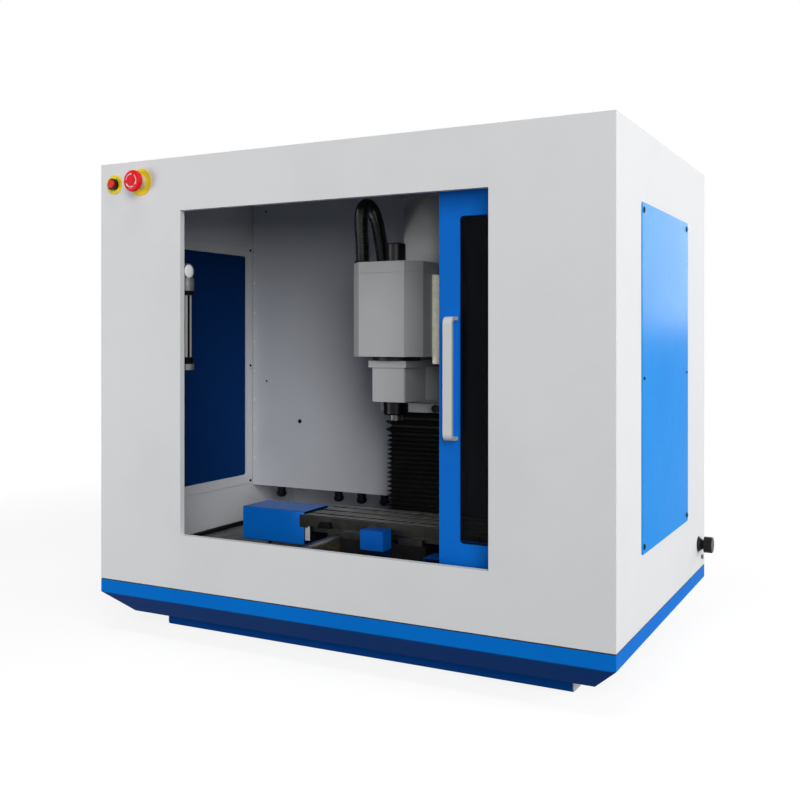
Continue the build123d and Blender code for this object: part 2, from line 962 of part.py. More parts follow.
with BuildPart() as work_light_tube:
    with BuildSketch(level(lamp_bottom)):
        with Locations((lamp_x, lamp_y)):
            Circle(lamp_tube_diameter / 2)
    extrude(amount=lamp_tube_top - lamp_bottom)
    with BuildSketch(level(lower_collar_bottom)):
        with Locations((lamp_x, lamp_y)):
            Circle(lamp_collar_diameter / 2)
    extrude(amount=lower_collar_length)
    with BuildSketch(level(upper_collar_bottom)):
        with Locations((lamp_x, lamp_y)):
            Circle(lamp_collar_diameter / 2)
    extrude(amount=upper_collar_length)
    with BuildSketch(across(lamp_disc_face)):
        with Locations((lamp_y, lamp_disc_z)):
            Circle(lamp_disc_diameter / 2)
    extrude(amount=-lamp_disc_thickness)
    with BuildSketch(across(lamp_disc_face)):
        with Locations((lamp_y, lamp_disc_z)):
            Circle(lamp_disc_diameter / 2 - lamp_disc_rim)
    extrude(amount=-lamp_disc_recess, mode=Mode.SUBTRACT)

with BuildPart() as work_light_brackets:
    arm_length = lamp_y - panel_back
    bracket_levels = ((lamp_bottom, lower_bracket_height), (upper_bracket_bottom, upper_bracket_height))
    for bracket_z, bracket_height in bracket_levels:
        with BuildSketch(level(bracket_z)):
            with Locations((lamp_x - lamp_arm_shift, panel_back + arm_length / 2)):
                Rectangle(lamp_arm_width, arm_length)
            with Locations((lamp_x, lamp_y)):
                Circle(lamp_bracket_diameter / 2)
                Circle(lamp_tube_diameter / 2, mode=Mode.SUBTRACT)
        extrude(amount=bracket_height)


# Base casting: a hollow bed on the pan floor, with the Y screw's bearings cast on
base_floor = rail_height + pan_wall
base_waist = base_half_width - base_wall
base_length = base_rear - base_front

with BuildPart() as base_casting:
    with BuildSketch(facing(base_rear)):
        with BuildLine():
            Polyline(
                (0, base_floor),
                (base_foot_half_width, base_floor),
                (base_foot_half_width, base_floor + base_foot_height),
                (base_waist, base_floor + 2 * base_foot_height),
                (base_waist, base_top - base_deck),
                (base_half_width, base_top - base_deck / 2),
                (base_half_width, base_top),
                (0, base_top),
                close=True,
            )
        make_face()
        mirror(about=Plane.YZ)
        with Locations((0, (base_floor + base_top - base_deck) / 2)):
            Rectangle(2 * (base_waist - base_wall), base_top - base_deck - base_floor, mode=Mode.SUBTRACT)
    extrude(amount=base_length)
    with BuildSketch(facing(base_front + pillow_length)):
        with Locations((0, base_top + pillow_height / 2)):
            Rectangle(pillow_width, pillow_height)
    extrude(amount=pillow_length)
    with BuildSketch(facing(base_rear)):
        with Locations((0, (base_top + y_screw_z + motor_square / 2) / 2)):
            Rectangle(motor_square, y_screw_z + motor_square / 2 - base_top)
    extrude(amount=pillow_length)
    with BuildSketch(facing(base_rear)):
        with Locations((0, y_screw_z)):
            Circle(y_screw_diameter / 2 + running_gap)
    extrude(amount=base_length, mode=Mode.SUBTRACT)

# Y guide rails on the bed
with BuildPart() as y_guide_rails:
    y_guide_rear = column_front - y_guide_rear_gap
    y_guide_front = base_front + pillow_length / 2
    with BuildSketch(facing(y_guide_rear)):
        with Locations((0, base_top + guide_height / 2)):
            with GridLocations(y_guide_spacing, guide_height, 2, 1):
                Rectangle(guide_width, guide_height)
    extrude(amount=y_guide_rear - y_guide_front)

# Y screw, from the front pillow block to the motor
with BuildPart() as y_screw:
    y_screw_front = base_front + screw_lead / 2
    y_screw_rear = base_rear - slide_gap
    with BuildSketch(facing(y_screw_rear)):
        with Locations((0, y_screw_z)):
            Circle(y_screw_diameter / 2)
    extrude(amount=y_screw_rear - y_screw_front)

# Column: a channel casting with a closed head, a screw seat and a motor shelf
column_bottom_web = base_top + column_tunnel_height
cavity_depth = column_depth - column_back_wall
cavity_middle = column_front + cavity_depth / 2
column_middle = column_front + column_depth / 2

with BuildPart() as column:
    with BuildSketch(level(base_top)):
        with Locations((0, column_middle)):
            Rectangle(column_width, column_depth)
    extrude(amount=column_top - base_top)
    with BuildSketch(level(base_top)):
        with Locations((0, column_middle)):
            Rectangle(column_foot_width, column_depth)
    extrude(amount=column_foot_height)
    with BuildSketch(level(bellows_bottom)):
        with Locations((0, (bellows_bracket_front + column_front) / 2)):
            Rectangle(2 * bellows_half_width, column_front - bellows_bracket_front)
    extrude(amount=-bellows_bracket)
    with BuildSketch(level(column_bottom_web + column_web)):
        with Locations((0, cavity_middle)):
            Rectangle(column_cavity_width, cavity_depth)
    extrude(amount=column_slot_top - column_bottom_web - column_web, mode=Mode.SUBTRACT)
    with BuildSketch(level(column_slot_top)):
        with Locations((0, cavity_middle + column_back_wall / 2)):
            Rectangle(column_cavity_width, cavity_depth - column_back_wall)
    extrude(amount=motor_shelf_top - motor_shelf - column_slot_top, mode=Mode.SUBTRACT)
    with BuildSketch(level(motor_shelf_top)):
        with Locations((0, cavity_middle + column_back_wall / 2)):
            Rectangle(column_cavity_width, cavity_depth - column_back_wall)
    extrude(amount=column_top - motor_shelf_top, mode=Mode.SUBTRACT)
    with BuildSketch(facing(column_rear)):
        with Locations((0, base_top + column_tunnel_height / 2)):
            Rectangle(column_tunnel_width, column_tunnel_height)
    extrude(amount=column_depth, mode=Mode.SUBTRACT)
    with BuildSketch(level(column_bottom_web + column_web - z_screw_seat)):
        with Locations((0, z_screw_y)):
            Circle(z_screw_diameter / 2 + running_gap)
    extrude(amount=motor_shelf_top - column_bottom_web, mode=Mode.SUBTRACT)

# Z guide rails on the column's front
with BuildPart() as z_guide_rails:
    z_guide_spacing = (column_width + column_cavity_width) / 2
    z_guide_top = carriage_top + z_guide_overrun
    with BuildSketch(level(z_guide_bottom)):
        with Locations((0, column_front - guide_height / 2)):
            with GridLocations(z_guide_spacing, guide_height, 2, 1):
                Rectangle(guide_width, guide_height)
    extrude(amount=z_guide_top - z_guide_bottom)

# Z screw, from its seat to the motor shelf
with BuildPart() as z_screw:
    z_screw_bottom = column_bottom_web + column_web - z_screw_seat + slide_gap
    z_screw_top = motor_shelf_top - slide_gap
    with BuildSketch(level(z_screw_bottom)):
        with Locations((0, z_screw_y)):
            Circle(z_screw_diameter / 2)
    extrude(amount=z_screw_top - z_screw_bottom)

# Y motor behind the bed and Z motor on the column's shelf
y_motor_seat = Plane(origin=(0, base_rear, y_screw_z), x_dir=(1, 0, 0), z_dir=(0, 1, 0))
z_motor_seat = Plane(origin=(0, z_screw_y, motor_shelf_top), x_dir=(1, 0, 0), z_dir=(0, 0, 1))

with BuildPart() as axis_motors:
    for motor_seat in (y_motor_seat, z_motor_seat):
        with BuildSketch(motor_seat):
            RectangleRounded(motor_square, motor_square, motor_corner)
        extrude(amount=motor_length)

# Saddle: a plate between the Y and X guides
with BuildPart() as saddle:
    with BuildSketch(level(saddle_bottom)):
        with Locations((0, saddle_y)):
            RectangleRounded(saddle_length, saddle_depth, cover_corner)
    extrude(amount=saddle_top - saddle_bottom)

# Saddle carriages: four that run on the Y rails and four that hold the X rails
with BuildPart() as saddle_carriages:
    y_carriage_bottom = base_top + guide_clear
    with BuildSketch(level(y_carriage_bottom)):
        with Locations((0, saddle_y)):
            with GridLocations(y_guide_spacing, y_carriage_pitch, 2, 2):
                Rectangle(carriage_width, carriage_length)
    extrude(amount=saddle_bottom - y_carriage_bottom)
    with BuildSketch(level(y_carriage_bottom)):
        with Locations((0, saddle_y)):
            with GridLocations(y_guide_spacing, y_carriage_pitch, 2, 2):
                Rectangle(guide_width + 2 * slide_gap, carriage_length)
    extrude(amount=base_top + guide_height + slide_gap - y_carriage_bottom, mode=Mode.SUBTRACT)
    x_carriage_top = table_underside - guide_clear
    x_groove_floor = table_underside - guide_height - slide_gap
    with BuildSketch(level(saddle_top)):
        with Locations((0, saddle_y)):
            with GridLocations(x_carriage_pitch, x_guide_spacing, 2, 2):
                Rectangle(carriage_length, carriage_width)
    extrude(amount=x_carriage_top - saddle_top)
    with BuildSketch(level(x_groove_floor)):
        with Locations((0, saddle_y)):
            with GridLocations(x_carriage_pitch, x_guide_spacing, 2, 2):
                Rectangle(carriage_length, guide_width + 2 * slide_gap)
    extrude(amount=x_carriage_top - x_groove_floor, mode=Mode.SUBTRACT)

# Screw nuts under and on top of the saddle
with BuildPart() as saddle_nuts:
    y_nut_bottom = base_top + guide_groove
    x_nut_top = table_underside + x_channel_depth - guide_groove
    with BuildSketch(facing(saddle_y + nut_length / 2)):
        with Locations((0, (y_nut_bottom + saddle_bottom) / 2)):
            Rectangle(nut_width, saddle_bottom - y_nut_bottom)
        with Locations((0, y_screw_z)):
            Circle(y_screw_diameter / 2 + running_gap, mode=Mode.SUBTRACT)
    extrude(amount=nut_length)
    with BuildSketch(across(-nut_length / 2)):
        with Locations((x_screw_y, (saddle_top + x_nut_top) / 2)):
            Rectangle(nut_width, x_nut_top - saddle_top)
        with Locations((x_screw_y, x_screw_z)):
            Circle(x_screw_diameter / 2 + running_gap, mode=Mode.SUBTRACT)
    extrude(amount=nut_length)

# X limit switch on the saddle's front edge
saddle_front = saddle_y - saddle_depth / 2

with BuildPart() as x_limit_switch_box:
    switch_back = table_front - seat_gap
    switch_foot_height = switch_foot_share * (saddle_top - saddle_bottom)
    with BuildSketch(level(saddle_top - switch_box_drop)):
        with Locations((0, switch_back - switch_box_depth / 2)):
            RectangleRounded(switch_box_width, switch_box_depth, cover_corner)
    extrude(amount=switch_box_height)
    with BuildSketch(facing(saddle_front)):
        with Locations((0, saddle_top - switch_foot_height / 2)):
            Rectangle(switch_box_width - 2 * cover_corner, switch_foot_height)
    extrude(amount=saddle_front - switch_back + cover_corner)

# Y limit switch on the bed's right edge
with BuildPart() as y_limit_switch_box:
    y_box_middle = switch_box_y_front + switch_box_width / 2
    foot_left = base_half_width - switch_foot
    plate_right = switch_box_y_x + switch_foot
    with BuildSketch(level(switch_box_y_z)):
        with Locations((switch_box_y_x + switch_box_depth / 2, y_box_middle)):
            RectangleRounded(switch_box_depth, switch_box_width, cover_corner)
    extrude(amount=switch_box_height)
    with BuildSketch(level(base_top)):
        with Locations((foot_left + switch_foot / 2, y_box_middle)):
            Rectangle(switch_foot, switch_box_width - 2 * cover_corner)
    extrude(amount=switch_box_y_z - base_top)
    with BuildSketch(level(switch_box_y_z)):
        with Locations(((foot_left + plate_right) / 2, y_box_middle)):
            Rectangle(plate_right - foot_left, switch_box_width - 2 * cover_corner)
    extrude(amount=-switch_plate)

# Table: T-slotted slab with a channel for the X screw and a step along the front
with BuildPart() as table:
    table_y = table_front + table_depth / 2
    with BuildSketch(across(table_left)):
        with Locations((table_y, table_top - table_thickness / 2)):
            Rectangle(table_depth, table_thickness)
        with Locations((table_y, table_top - t_slot_mouth_depth / 2)):
            with GridLocations(t_slot_pitch, t_slot_mouth_depth, 3, 1):
                Rectangle(t_slot_mouth, t_slot_mouth_depth, mode=Mode.SUBTRACT)
        with Locations((table_y, table_top - t_slot_mouth_depth - t_slot_undercut_depth / 2)):
            with GridLocations(t_slot_pitch, t_slot_mouth_depth, 3, 1):
                Rectangle(t_slot_undercut, t_slot_undercut_depth, mode=Mode.SUBTRACT)
        with Locations((x_screw_y, table_underside + x_channel_depth / 2)):
            Rectangle(x_channel_width, x_channel_depth, mode=Mode.SUBTRACT)
        with Locations((table_front, table_top)):
            Rectangle(2 * table_step, table_step, mode=Mode.SUBTRACT)
    extrude(amount=table_length)

# X guide rails under the table
with BuildPart() as x_guide_rails:
    x_guide_length = table_length - 2 * guide_clear
    with BuildSketch(across(table_left + guide_clear)):
        with Locations((saddle_y, table_underside - guide_height / 2)):
            with GridLocations(x_guide_spacing, guide_height, 2, 1):
                Rectangle(guide_width, guide_height)
    extrude(amount=x_guide_length)

# Bearing blocks for the X screw at both ends of the table, and the bracket under the left end
with BuildPart() as x_bearing_blocks:
    x_bearing_bottom = x_screw_z - x_bearing_drop
    x_bearing_starts = (table_left - guide_groove, table_right - x_bearing_length)
    for block_start in x_bearing_starts:
        with BuildSketch(across(block_start)):
            with Locations((x_screw_y, (x_bearing_bottom + table_underside) / 2)):
                Rectangle(x_bearing_width, table_underside - x_bearing_bottom)
            with Locations((x_screw_y, x_screw_z)):
                Circle(x_screw_diameter / 2 + running_gap, mode=Mode.SUBTRACT)
        extrude(amount=x_bearing_length)
    with BuildSketch(across(table_left)):
        with BuildLine():
            Polyline(
                (end_bracket_front, end_bracket_bottom),
                (end_bracket_rear, end_bracket_bottom),
                (end_bracket_rear, end_bracket_bottom + end_bracket_foot),
                (end_bracket_front + end_bracket_cheek, end_bracket_bottom + end_bracket_foot),
                (end_bracket_front + end_bracket_cheek, table_underside),
                (end_bracket_front, table_underside),
                close=True,
            )
        make_face()
    extrude(amount=end_bracket_length)

# X screw, from the motor's face to the far bearing
motor_face_x = table_left - guide_groove

with BuildPart() as x_screw:
    x_screw_left = motor_face_x + slide_gap
    x_screw_right = table_right - guide_groove
    with BuildSketch(across(x_screw_left)):
        with Locations((x_screw_y, x_screw_z)):
            Circle(x_screw_diameter / 2)
    extrude(amount=x_screw_right - x_screw_left)

# X motor on the left bearing block
with BuildPart() as x_motor:
    with BuildSketch(across(motor_face_x)):
        with Locations((x_screw_y, x_screw_z)):
            RectangleRounded(motor_square, motor_square, motor_corner)
    extrude(amount=-motor_length)

# X motor cover: a sheet box open towards the table's end
with BuildPart() as x_motor_cover:
    cover_middle = table_front + motor_cover_depth / 2
    with BuildSketch(across(table_left)):
        with Locations((cover_middle, (motor_cover_bottom + motor_cover_top) / 2)):
            RectangleRounded(motor_cover_depth, motor_cover_top - motor_cover_bottom, cover_corner)
    extrude(amount=-motor_cover_length)
    offset(amount=-cover_sheet, openings=x_motor_cover.faces().sort_by(Axis.X)[-1:])

# Trip dogs on the table's front edge
with BuildPart() as trip_dogs:
    dog_places = (table_left + dog_inset, table_right - dog_inset)
    with BuildSketch(facing(table_front)):
        for dog_x in dog_places:
            with Locations((dog_x, table_underside + dog_height / 2)):
                Trapezoid(dog_length, dog_height, dog_angle)
    extrude(amount=dog_depth)


# Z carriage: back plate of the head with a nut bracket and a front ledge
with BuildPart() as z_carriage:
    with BuildSketch(facing(carriage_back)):
        with Locations((0, (carriage_bottom + carriage_top) / 2)):
            Rectangle(2 * carriage_half_width, carriage_top - carriage_bottom)
    extrude(amount=carriage_plate)
    with BuildSketch(facing(carriage_front)):
        with Locations((0, carriage_bottom + ledge_height / 2)):
            Rectangle(2 * carriage_half_width, ledge_height)
    extrude(amount=ledge_depth)
    with BuildSketch(level(z_nut_bottom)):
        with Locations((0, (carriage_back + z_screw_y + z_nut_reach) / 2)):
            Rectangle(z_nut_width, z_screw_y + z_nut_reach - carriage_back)
        with Locations((0, z_screw_y)):
            Circle(z_screw_diameter / 2 + running_gap, mode=Mode.SUBTRACT)
    extrude(amount=z_nut_height)

# Z carriage blocks that hold the column's rails
with BuildPart() as z_carriage_blocks:
    z_block_back = column_front - guide_clear
    z_groove_floor = column_front - guide_height - slide_gap
    z_block_middle = (carriage_bottom + carriage_top) / 2
    with BuildSketch(facing(z_block_back)):
        with Locations((0, z_block_middle)):
            with GridLocations(z_guide_spacing, z_carriage_pitch, 2, 2):
                Rectangle(carriage_width, carriage_length)
    extrude(amount=z_block_back - carriage_back)
    with BuildSketch(facing(z_block_back)):
        with Locations((0, z_block_middle)):
            with GridLocations(z_guide_spacing, z_carriage_pitch, 2, 2):
                Rectangle(guide_width + 2 * slide_gap, carriage_length)
    extrude(amount=z_block_back - z_groove_floor, mode=Mode.SUBTRACT)

# Head casting: spindle block flared into the carriage, with a lip on top
with BuildPart() as head_casting:
    with BuildSketch(level(spindle_block_bottom)):
        with BuildLine():
            Polyline(
                (0, spindle_block_front),
                (spindle_block_width / 2, spindle_block_front),
                (spindle_block_width / 2, gusset_start),
                (gusset_half_width, carriage_front),
                (0, carriage_front),
                close=True,
            )
        make_face()
        mirror(about=Plane.YZ)
    extrude(amount=spindle_block_height)
    front_edges = head_casting.edges().filter_by(Axis.Z).group_by(Axis.Y)[0]
    fillet(front_edges, spindle_block_edge)
    lip_front = spindle_block_front - spindle_lip_proud
    with BuildSketch(level(spindle_lip_bottom)):
        with Locations((0, (lip_front + carriage_front) / 2)):
            Rectangle(spindle_lip_width, carriage_front - lip_front)
    extrude(amount=spindle_lip_height)
    with BuildSketch(level(spindle_block_bottom)):
        with Locations((0, spindle_y)):
            Circle(spindle_shaft_diameter / 2 + running_gap)
    extrude(amount=spindle_block_height + spindle_lip_height, mode=Mode.SUBTRACT)

# Spindle motor: finned housing standing on the head casting
with BuildPart() as spindle_motor:
    with BuildSketch(level(spindle_lip_top)):
        with Locations((0, spindle_y)):
            Circle(spindle_motor_diameter / 2)
            Circle(spindle_tail_diameter / 2 + slide_gap, mode=Mode.SUBTRACT)
    extrude(amount=spindle_motor_top - spindle_lip_top)
    with BuildSketch(level(spindle_lip_top + spindle_motor_flange)):
        with Locations((0, spindle_y)):
            with PolarLocations(spindle_motor_diameter / 2, spindle_motor_fins):
                Rectangle(2 * spindle_motor_fin, spindle_motor_fin)
    extrude(
        amount=spindle_motor_top - spindle_lip_top - 2 * spindle_motor_flange,
        mode=Mode.SUBTRACT,
    )

# Head cover: folded sheet with bevelled front corners and a seam under its roof, open below and behind
cover_half = head_cover_width / 2
face_half = head_cover_face / 2
bevel_back = head_cover_front + cover_half - face_half

cover_outline = [
    (-cover_half, carriage_front),
    (-cover_half, bevel_back),
    (-face_half, head_cover_front),
    (face_half, head_cover_front),
    (cover_half, bevel_back),
    (cover_half, carriage_front),
]

with BuildPart() as head_cover:
    with BuildSketch(level(head_cover_bottom)):
        with BuildLine():
            Polyline(*cover_outline, close=True)
        make_face()
    extrude(amount=head_cover_top - head_cover_bottom)
    open_faces = head_cover.faces().sort_by(Axis.Z)[:1] + head_cover.faces().sort_by(Axis.Y)[-1:]
    offset(amount=-cover_sheet, openings=open_faces)
    with BuildSketch(level(head_cover_top - cover_sheet)):
        with Locations((0, spindle_y)):
            Circle(spindle_tail_diameter / 2 + guide_groove)
    extrude(amount=cover_sheet, mode=Mode.SUBTRACT)
    with BuildSketch(level(head_cover_top - cover_seam_drop)):
        with BuildLine():
            Polyline(*cover_outline, close=True)
        make_face()
        offset(amount=-cover_seam_depth, kind=Kind.INTERSECTION, mode=Mode.SUBTRACT)
    extrude(amount=cover_seam_width, mode=Mode.SUBTRACT)

# Screws on the cover's sides, and the clamp knob on the carriage ledge
with BuildPart() as head_screws:
    screw_span = head_cover_top - head_cover_bottom - 2 * head_cover_screw_inset
    screw_y = carriage_front - head_cover_screw_inset
    for side in (-1, 1):
        with BuildSketch(across(side * cover_half)):
            with Locations((screw_y, (head_cover_top + head_cover_bottom) / 2)):
                with GridLocations(screw_span, screw_span, 1, 2):
                    Circle(head_screw_diameter / 2)
        extrude(amount=side * head_screw_head)
    with BuildSketch(facing(carriage_front - ledge_depth)):
        with Locations((ledge_knob_x, carriage_bottom + ledge_height / 2)):
            Circle(ledge_knob_diameter / 2)
    extrude(amount=ledge_knob_length)

# Light bar on the right side of the cover
with BuildPart() as head_light_bar:
    with BuildSketch(level(light_bar_bottom)):
        with Locations((cover_half + light_bar_depth / 2, light_bar_y)):
            RectangleRounded(light_bar_depth, light_bar_width, light_bar_edge)
    extrude(amount=light_bar_top - light_bar_bottom)

# Drawbar cap on the roof of the cover, over the spindle's tail
with BuildPart() as drawbar_cap:
    cap_origin = (0, spindle_y, head_cover_top)
    cap_outer = drawbar_cap_diameter / 2
    cap_inner = cap_outer - drawbar_cap_wall
    cap_cavity = drawbar_cap_height - drawbar_cap_roof
    with BuildSketch(turning(cap_origin, (1, 0, 0), (0, 0, 1))):
        with BuildLine():
            Polyline(
                (cap_inner, 0),
                (cap_outer, 0),
                (cap_outer, drawbar_cap_height - drawbar_cap_edge),
                (cap_outer - drawbar_cap_edge, drawbar_cap_height),
                (0, drawbar_cap_height),
                (0, cap_cavity),
                (cap_inner, cap_cavity),
                close=True,
            )
        make_face()
    revolve(axis=Axis(cap_origin, (0, 0, 1)))

# Spindle: nose, bearing shaft and tail turned in one piece, bored for a collet
spindle_origin = (0, spindle_y, nose_bottom)

with BuildPart() as spindle:
    shaft_start = nose_length
    shaft_end = spindle_lip_top - slide_gap - nose_bottom
    tail_end = head_cover_top + spindle_tail_proud - nose_bottom
    with BuildSketch(turning(spindle_origin, (1, 0, 0), (0, 0, 1))):
        with BuildLine():
            Polyline(
                (collet_bore_diameter / 2, 0),
                (nose_diameter / 2 - nose_edge, 0),
                (nose_diameter / 2, nose_edge),
                (nose_diameter / 2, shaft_start),
                (spindle_shaft_diameter / 2, shaft_start),
                (spindle_shaft_diameter / 2, shaft_end),
                (spindle_tail_diameter / 2, shaft_end),
                (spindle_tail_diameter / 2, tail_end),
                (0, tail_end),
                (0, collet_bore_depth),
                (collet_bore_diameter / 2, collet_bore_depth),
                close=True,
            )
        make_face()
    revolve(axis=Axis(spindle_origin, (0, 0, 1)))

# Collet nut on the nose, with spanner flats
with BuildPart() as collet_nut:
    nut_origin = (0, spindle_y, nose_bottom - collet_nut_length)
    with BuildSketch(turning(nut_origin, (1, 0, 0), (0, 0, 1))):
        with BuildLine():
            Polyline(
                (collet_nut_bore / 2, 0),
                (collet_nut_diameter / 2 - collet_nut_taper, 0),
                (collet_nut_diameter / 2, collet_nut_taper),
                (collet_nut_diameter / 2, collet_nut_length),
                (collet_nut_bore / 2, collet_nut_length),
                close=True,
            )
        make_face()
    revolve(axis=Axis(nut_origin, (0, 0, 1)))
    with BuildSketch(level(nose_bottom - collet_nut_length)):
        with Locations((0, spindle_y)):
            with PolarLocations(collet_nut_diameter / 2, collet_nut_flats):
                Rectangle(collet_nut_taper, collet_nut_taper)
    extrude(amount=collet_nut_length, mode=Mode.SUBTRACT)

# Bellows: pleated curtain from the carriage down to the column's foot
coarse_length = coarse_pleats * coarse_pitch
fine_pitch = (carriage_bottom - bellows_bottom - coarse_length) / fine_pleats
pleat_pitches = [fine_pitch] * fine_pleats + [coarse_pitch] * coarse_pleats

with BuildPart() as z_bellows:
    valley = bellows_front + bellows_pleat_depth
    pleat_points = [(bellows_back, bellows_bottom), (valley, bellows_bottom)]
    pleat_z = bellows_bottom
    for pitch in pleat_pitches:
        pleat_points.append((bellows_front, pleat_z + pitch / 2))
        pleat_points.append((valley, pleat_z + pitch))
        pleat_z += pitch
    pleat_points.append((bellows_back, carriage_bottom))
    with BuildSketch(across(-bellows_half_width)):
        with BuildLine():
            Polyline(*pleat_points, close=True)
        make_face()
    extrude(amount=2 * bellows_half_width)


# Cords: straight runs joined by arcs as large as the runs allow
bend_share = 0.45


def bend_radii(route):
    """Radius at each inner point of a route: a share of its shorter run over the half turn's tangent."""
    points = [Vector(*point) for point in route]
    radii = []
    for before, here, after in zip(points, points[1:], points[2:]):
        arriving = here - before
        leaving = after - here
        half_turn = radians(arriving.get_angle(leaving)) / 2
        radii.append(bend_share * min(arriving.length, leaving.length) / tan(half_turn))
    return radii


def cord(route, diameter):
    """Round tube along a route of straight runs and tangent arcs."""
    radii = bend_radii(route)
    print("cord radii", [round(radius) for radius in radii])
    with BuildPart() as tube:
        with BuildLine():
            path = FilletPolyline(*route, radius=radii)
        with BuildSketch(Plane(origin=path @ 0, z_dir=path % 0)):
            Circle(diameter / 2)
        sweep(path=path)
    expected = pi * diameter**2 / 4 * path.length
    print("cord length", round(path.length), "volume share", round(tube.part.volume / expected, 4))
    return tube


head_conduit = cord(head_conduit_route, head_conduit_diameter)
motor_lead = cord(motor_lead_route, motor_lead_diameter)

# Write every piece as a file of its own
pieces = {
    "foot_rails": foot_rails,
    "base_pan": base_pan,
    "chip_tray": chip_tray,
    "front_panel": front_panel,
    "left_side_panel": left_side_panel,
    "right_side_panel": right_side_panel,
    "roof_panel": roof_panel,
    "rear_panel": rear_panel,
    "access_panels": access_panels,
    "panel_screws": panel_screws,
    "upper_door_track": upper_door_track,
    "lower_door_track": lower_door_track,
    "front_door_frame": front_door_frame,
    "front_door_window": front_door_window,
    "front_door_handle": front_door_handle,
    "rear_door_frame": rear_door_frame,
    "rear_door_window": rear_door_window,
    "legend_plates": legend_plates,
    "estop_body": estop_body,
    "estop_mushroom": estop_mushroom,
    "start_button_body": start_button_body,
    "start_button": start_button,
    "electrical_liner": electrical_liner,
    "cable_glands": cable_glands,
    "electrical_modules": electrical_modules,
    "side_gland": side_gland,
    "work_light_tube": work_light_tube,
    "work_light_brackets": work_light_brackets,
    "base_casting": base_casting,
    "y_guide_rails": y_guide_rails,
    "y_screw": y_screw,
    "axis_motors": axis_motors,
    "y_limit_switch_box": y_limit_switch_box,
    "saddle": saddle,
    "saddle_carriages": saddle_carriages,
    "saddle_nuts": saddle_nuts,
    "x_limit_switch_box": x_limit_switch_box,
    "table": table,
    "x_guide_rails": x_guide_rails,
    "x_screw": x_screw,
    "x_bearing_blocks": x_bearing_blocks,
    "x_motor": x_motor,
    "x_motor_cover": x_motor_cover,
    "trip_dogs": trip_dogs,
    "column": column,
    "z_guide_rails": z_guide_rails,
    "z_screw": z_screw,
    "z_carriage": z_carriage,
    "z_carriage_blocks": z_carriage_blocks,
    "head_casting": head_casting,
    "head_cover": head_cover,
    "head_screws": head_screws,
    "spindle_motor": spindle_motor,
    "head_light_bar": head_light_bar,
    "drawbar_cap": drawbar_cap,
    "spindle": spindle,
    "collet_nut": collet_nut,
    "z_bellows": z_bellows,
    "head_conduit": head_conduit,
    "motor_lead": motor_lead,
}

os.makedirs("parts", exist_ok=True)
for node, piece in pieces.items():
    piece.part.label = node
    export_step(piece.part, f"parts/{node}.step")
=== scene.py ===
import math

import bmesh
import bpy
import numpy as np
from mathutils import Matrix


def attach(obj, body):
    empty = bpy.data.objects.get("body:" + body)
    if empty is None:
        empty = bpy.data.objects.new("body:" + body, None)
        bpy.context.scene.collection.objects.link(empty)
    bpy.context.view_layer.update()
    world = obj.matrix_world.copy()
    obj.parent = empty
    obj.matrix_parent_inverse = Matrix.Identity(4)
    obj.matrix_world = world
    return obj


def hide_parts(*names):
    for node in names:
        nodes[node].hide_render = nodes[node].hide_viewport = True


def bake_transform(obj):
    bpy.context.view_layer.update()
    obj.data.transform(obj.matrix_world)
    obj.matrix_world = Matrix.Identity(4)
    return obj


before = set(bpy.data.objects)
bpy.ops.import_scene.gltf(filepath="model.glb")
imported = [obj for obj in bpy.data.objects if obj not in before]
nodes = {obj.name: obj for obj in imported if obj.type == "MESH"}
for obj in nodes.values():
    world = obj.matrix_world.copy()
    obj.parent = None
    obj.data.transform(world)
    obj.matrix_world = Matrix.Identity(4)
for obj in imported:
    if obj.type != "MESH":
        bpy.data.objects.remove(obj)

MM = 0.001
TURN = 2 * math.pi

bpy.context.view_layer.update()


class Value:
    """A socket of a finish. Python's operators on it add Math nodes."""

    def __init__(self, finish, socket):
        self.finish = finish
        self.socket = socket

    def maths(self, operation, first, second):
        return self.finish.node("ShaderNodeMath", {"operation": operation}, {0: first, 1: second})

    def __add__(self, other):
        return self.maths("ADD", self, other)

    def __sub__(self, other):
        return self.maths("SUBTRACT", self, other)

    def __rsub__(self, other):
        return self.maths("SUBTRACT", other, self)

    def __mul__(self, other):
        return self.maths("MULTIPLY", self, other)

    def __pow__(self, other):
        return self.maths("POWER", self, other)

    def __abs__(self):
        return self.maths("ABSOLUTE", self, 0)

    def above(self, other):
        """The larger of the two."""
        return self.maths("MAXIMUM", self, other)

    def wave(self, pitch):
        """Sine of the value with one turn in each pitch, from 0 to 1."""
        turned = self.maths("SINE", self * (TURN / pitch), 0)
        return turned * 0.5 + 0.5

    def step(self, start, end):
        """Smooth climb from 0 at start to 1 at end."""
        return self.finish.node(
            "ShaderNodeMapRange",
            {"interpolation_type": "SMOOTHSTEP"},
            {"Value": self, "From Min": start, "From Max": end},
        )


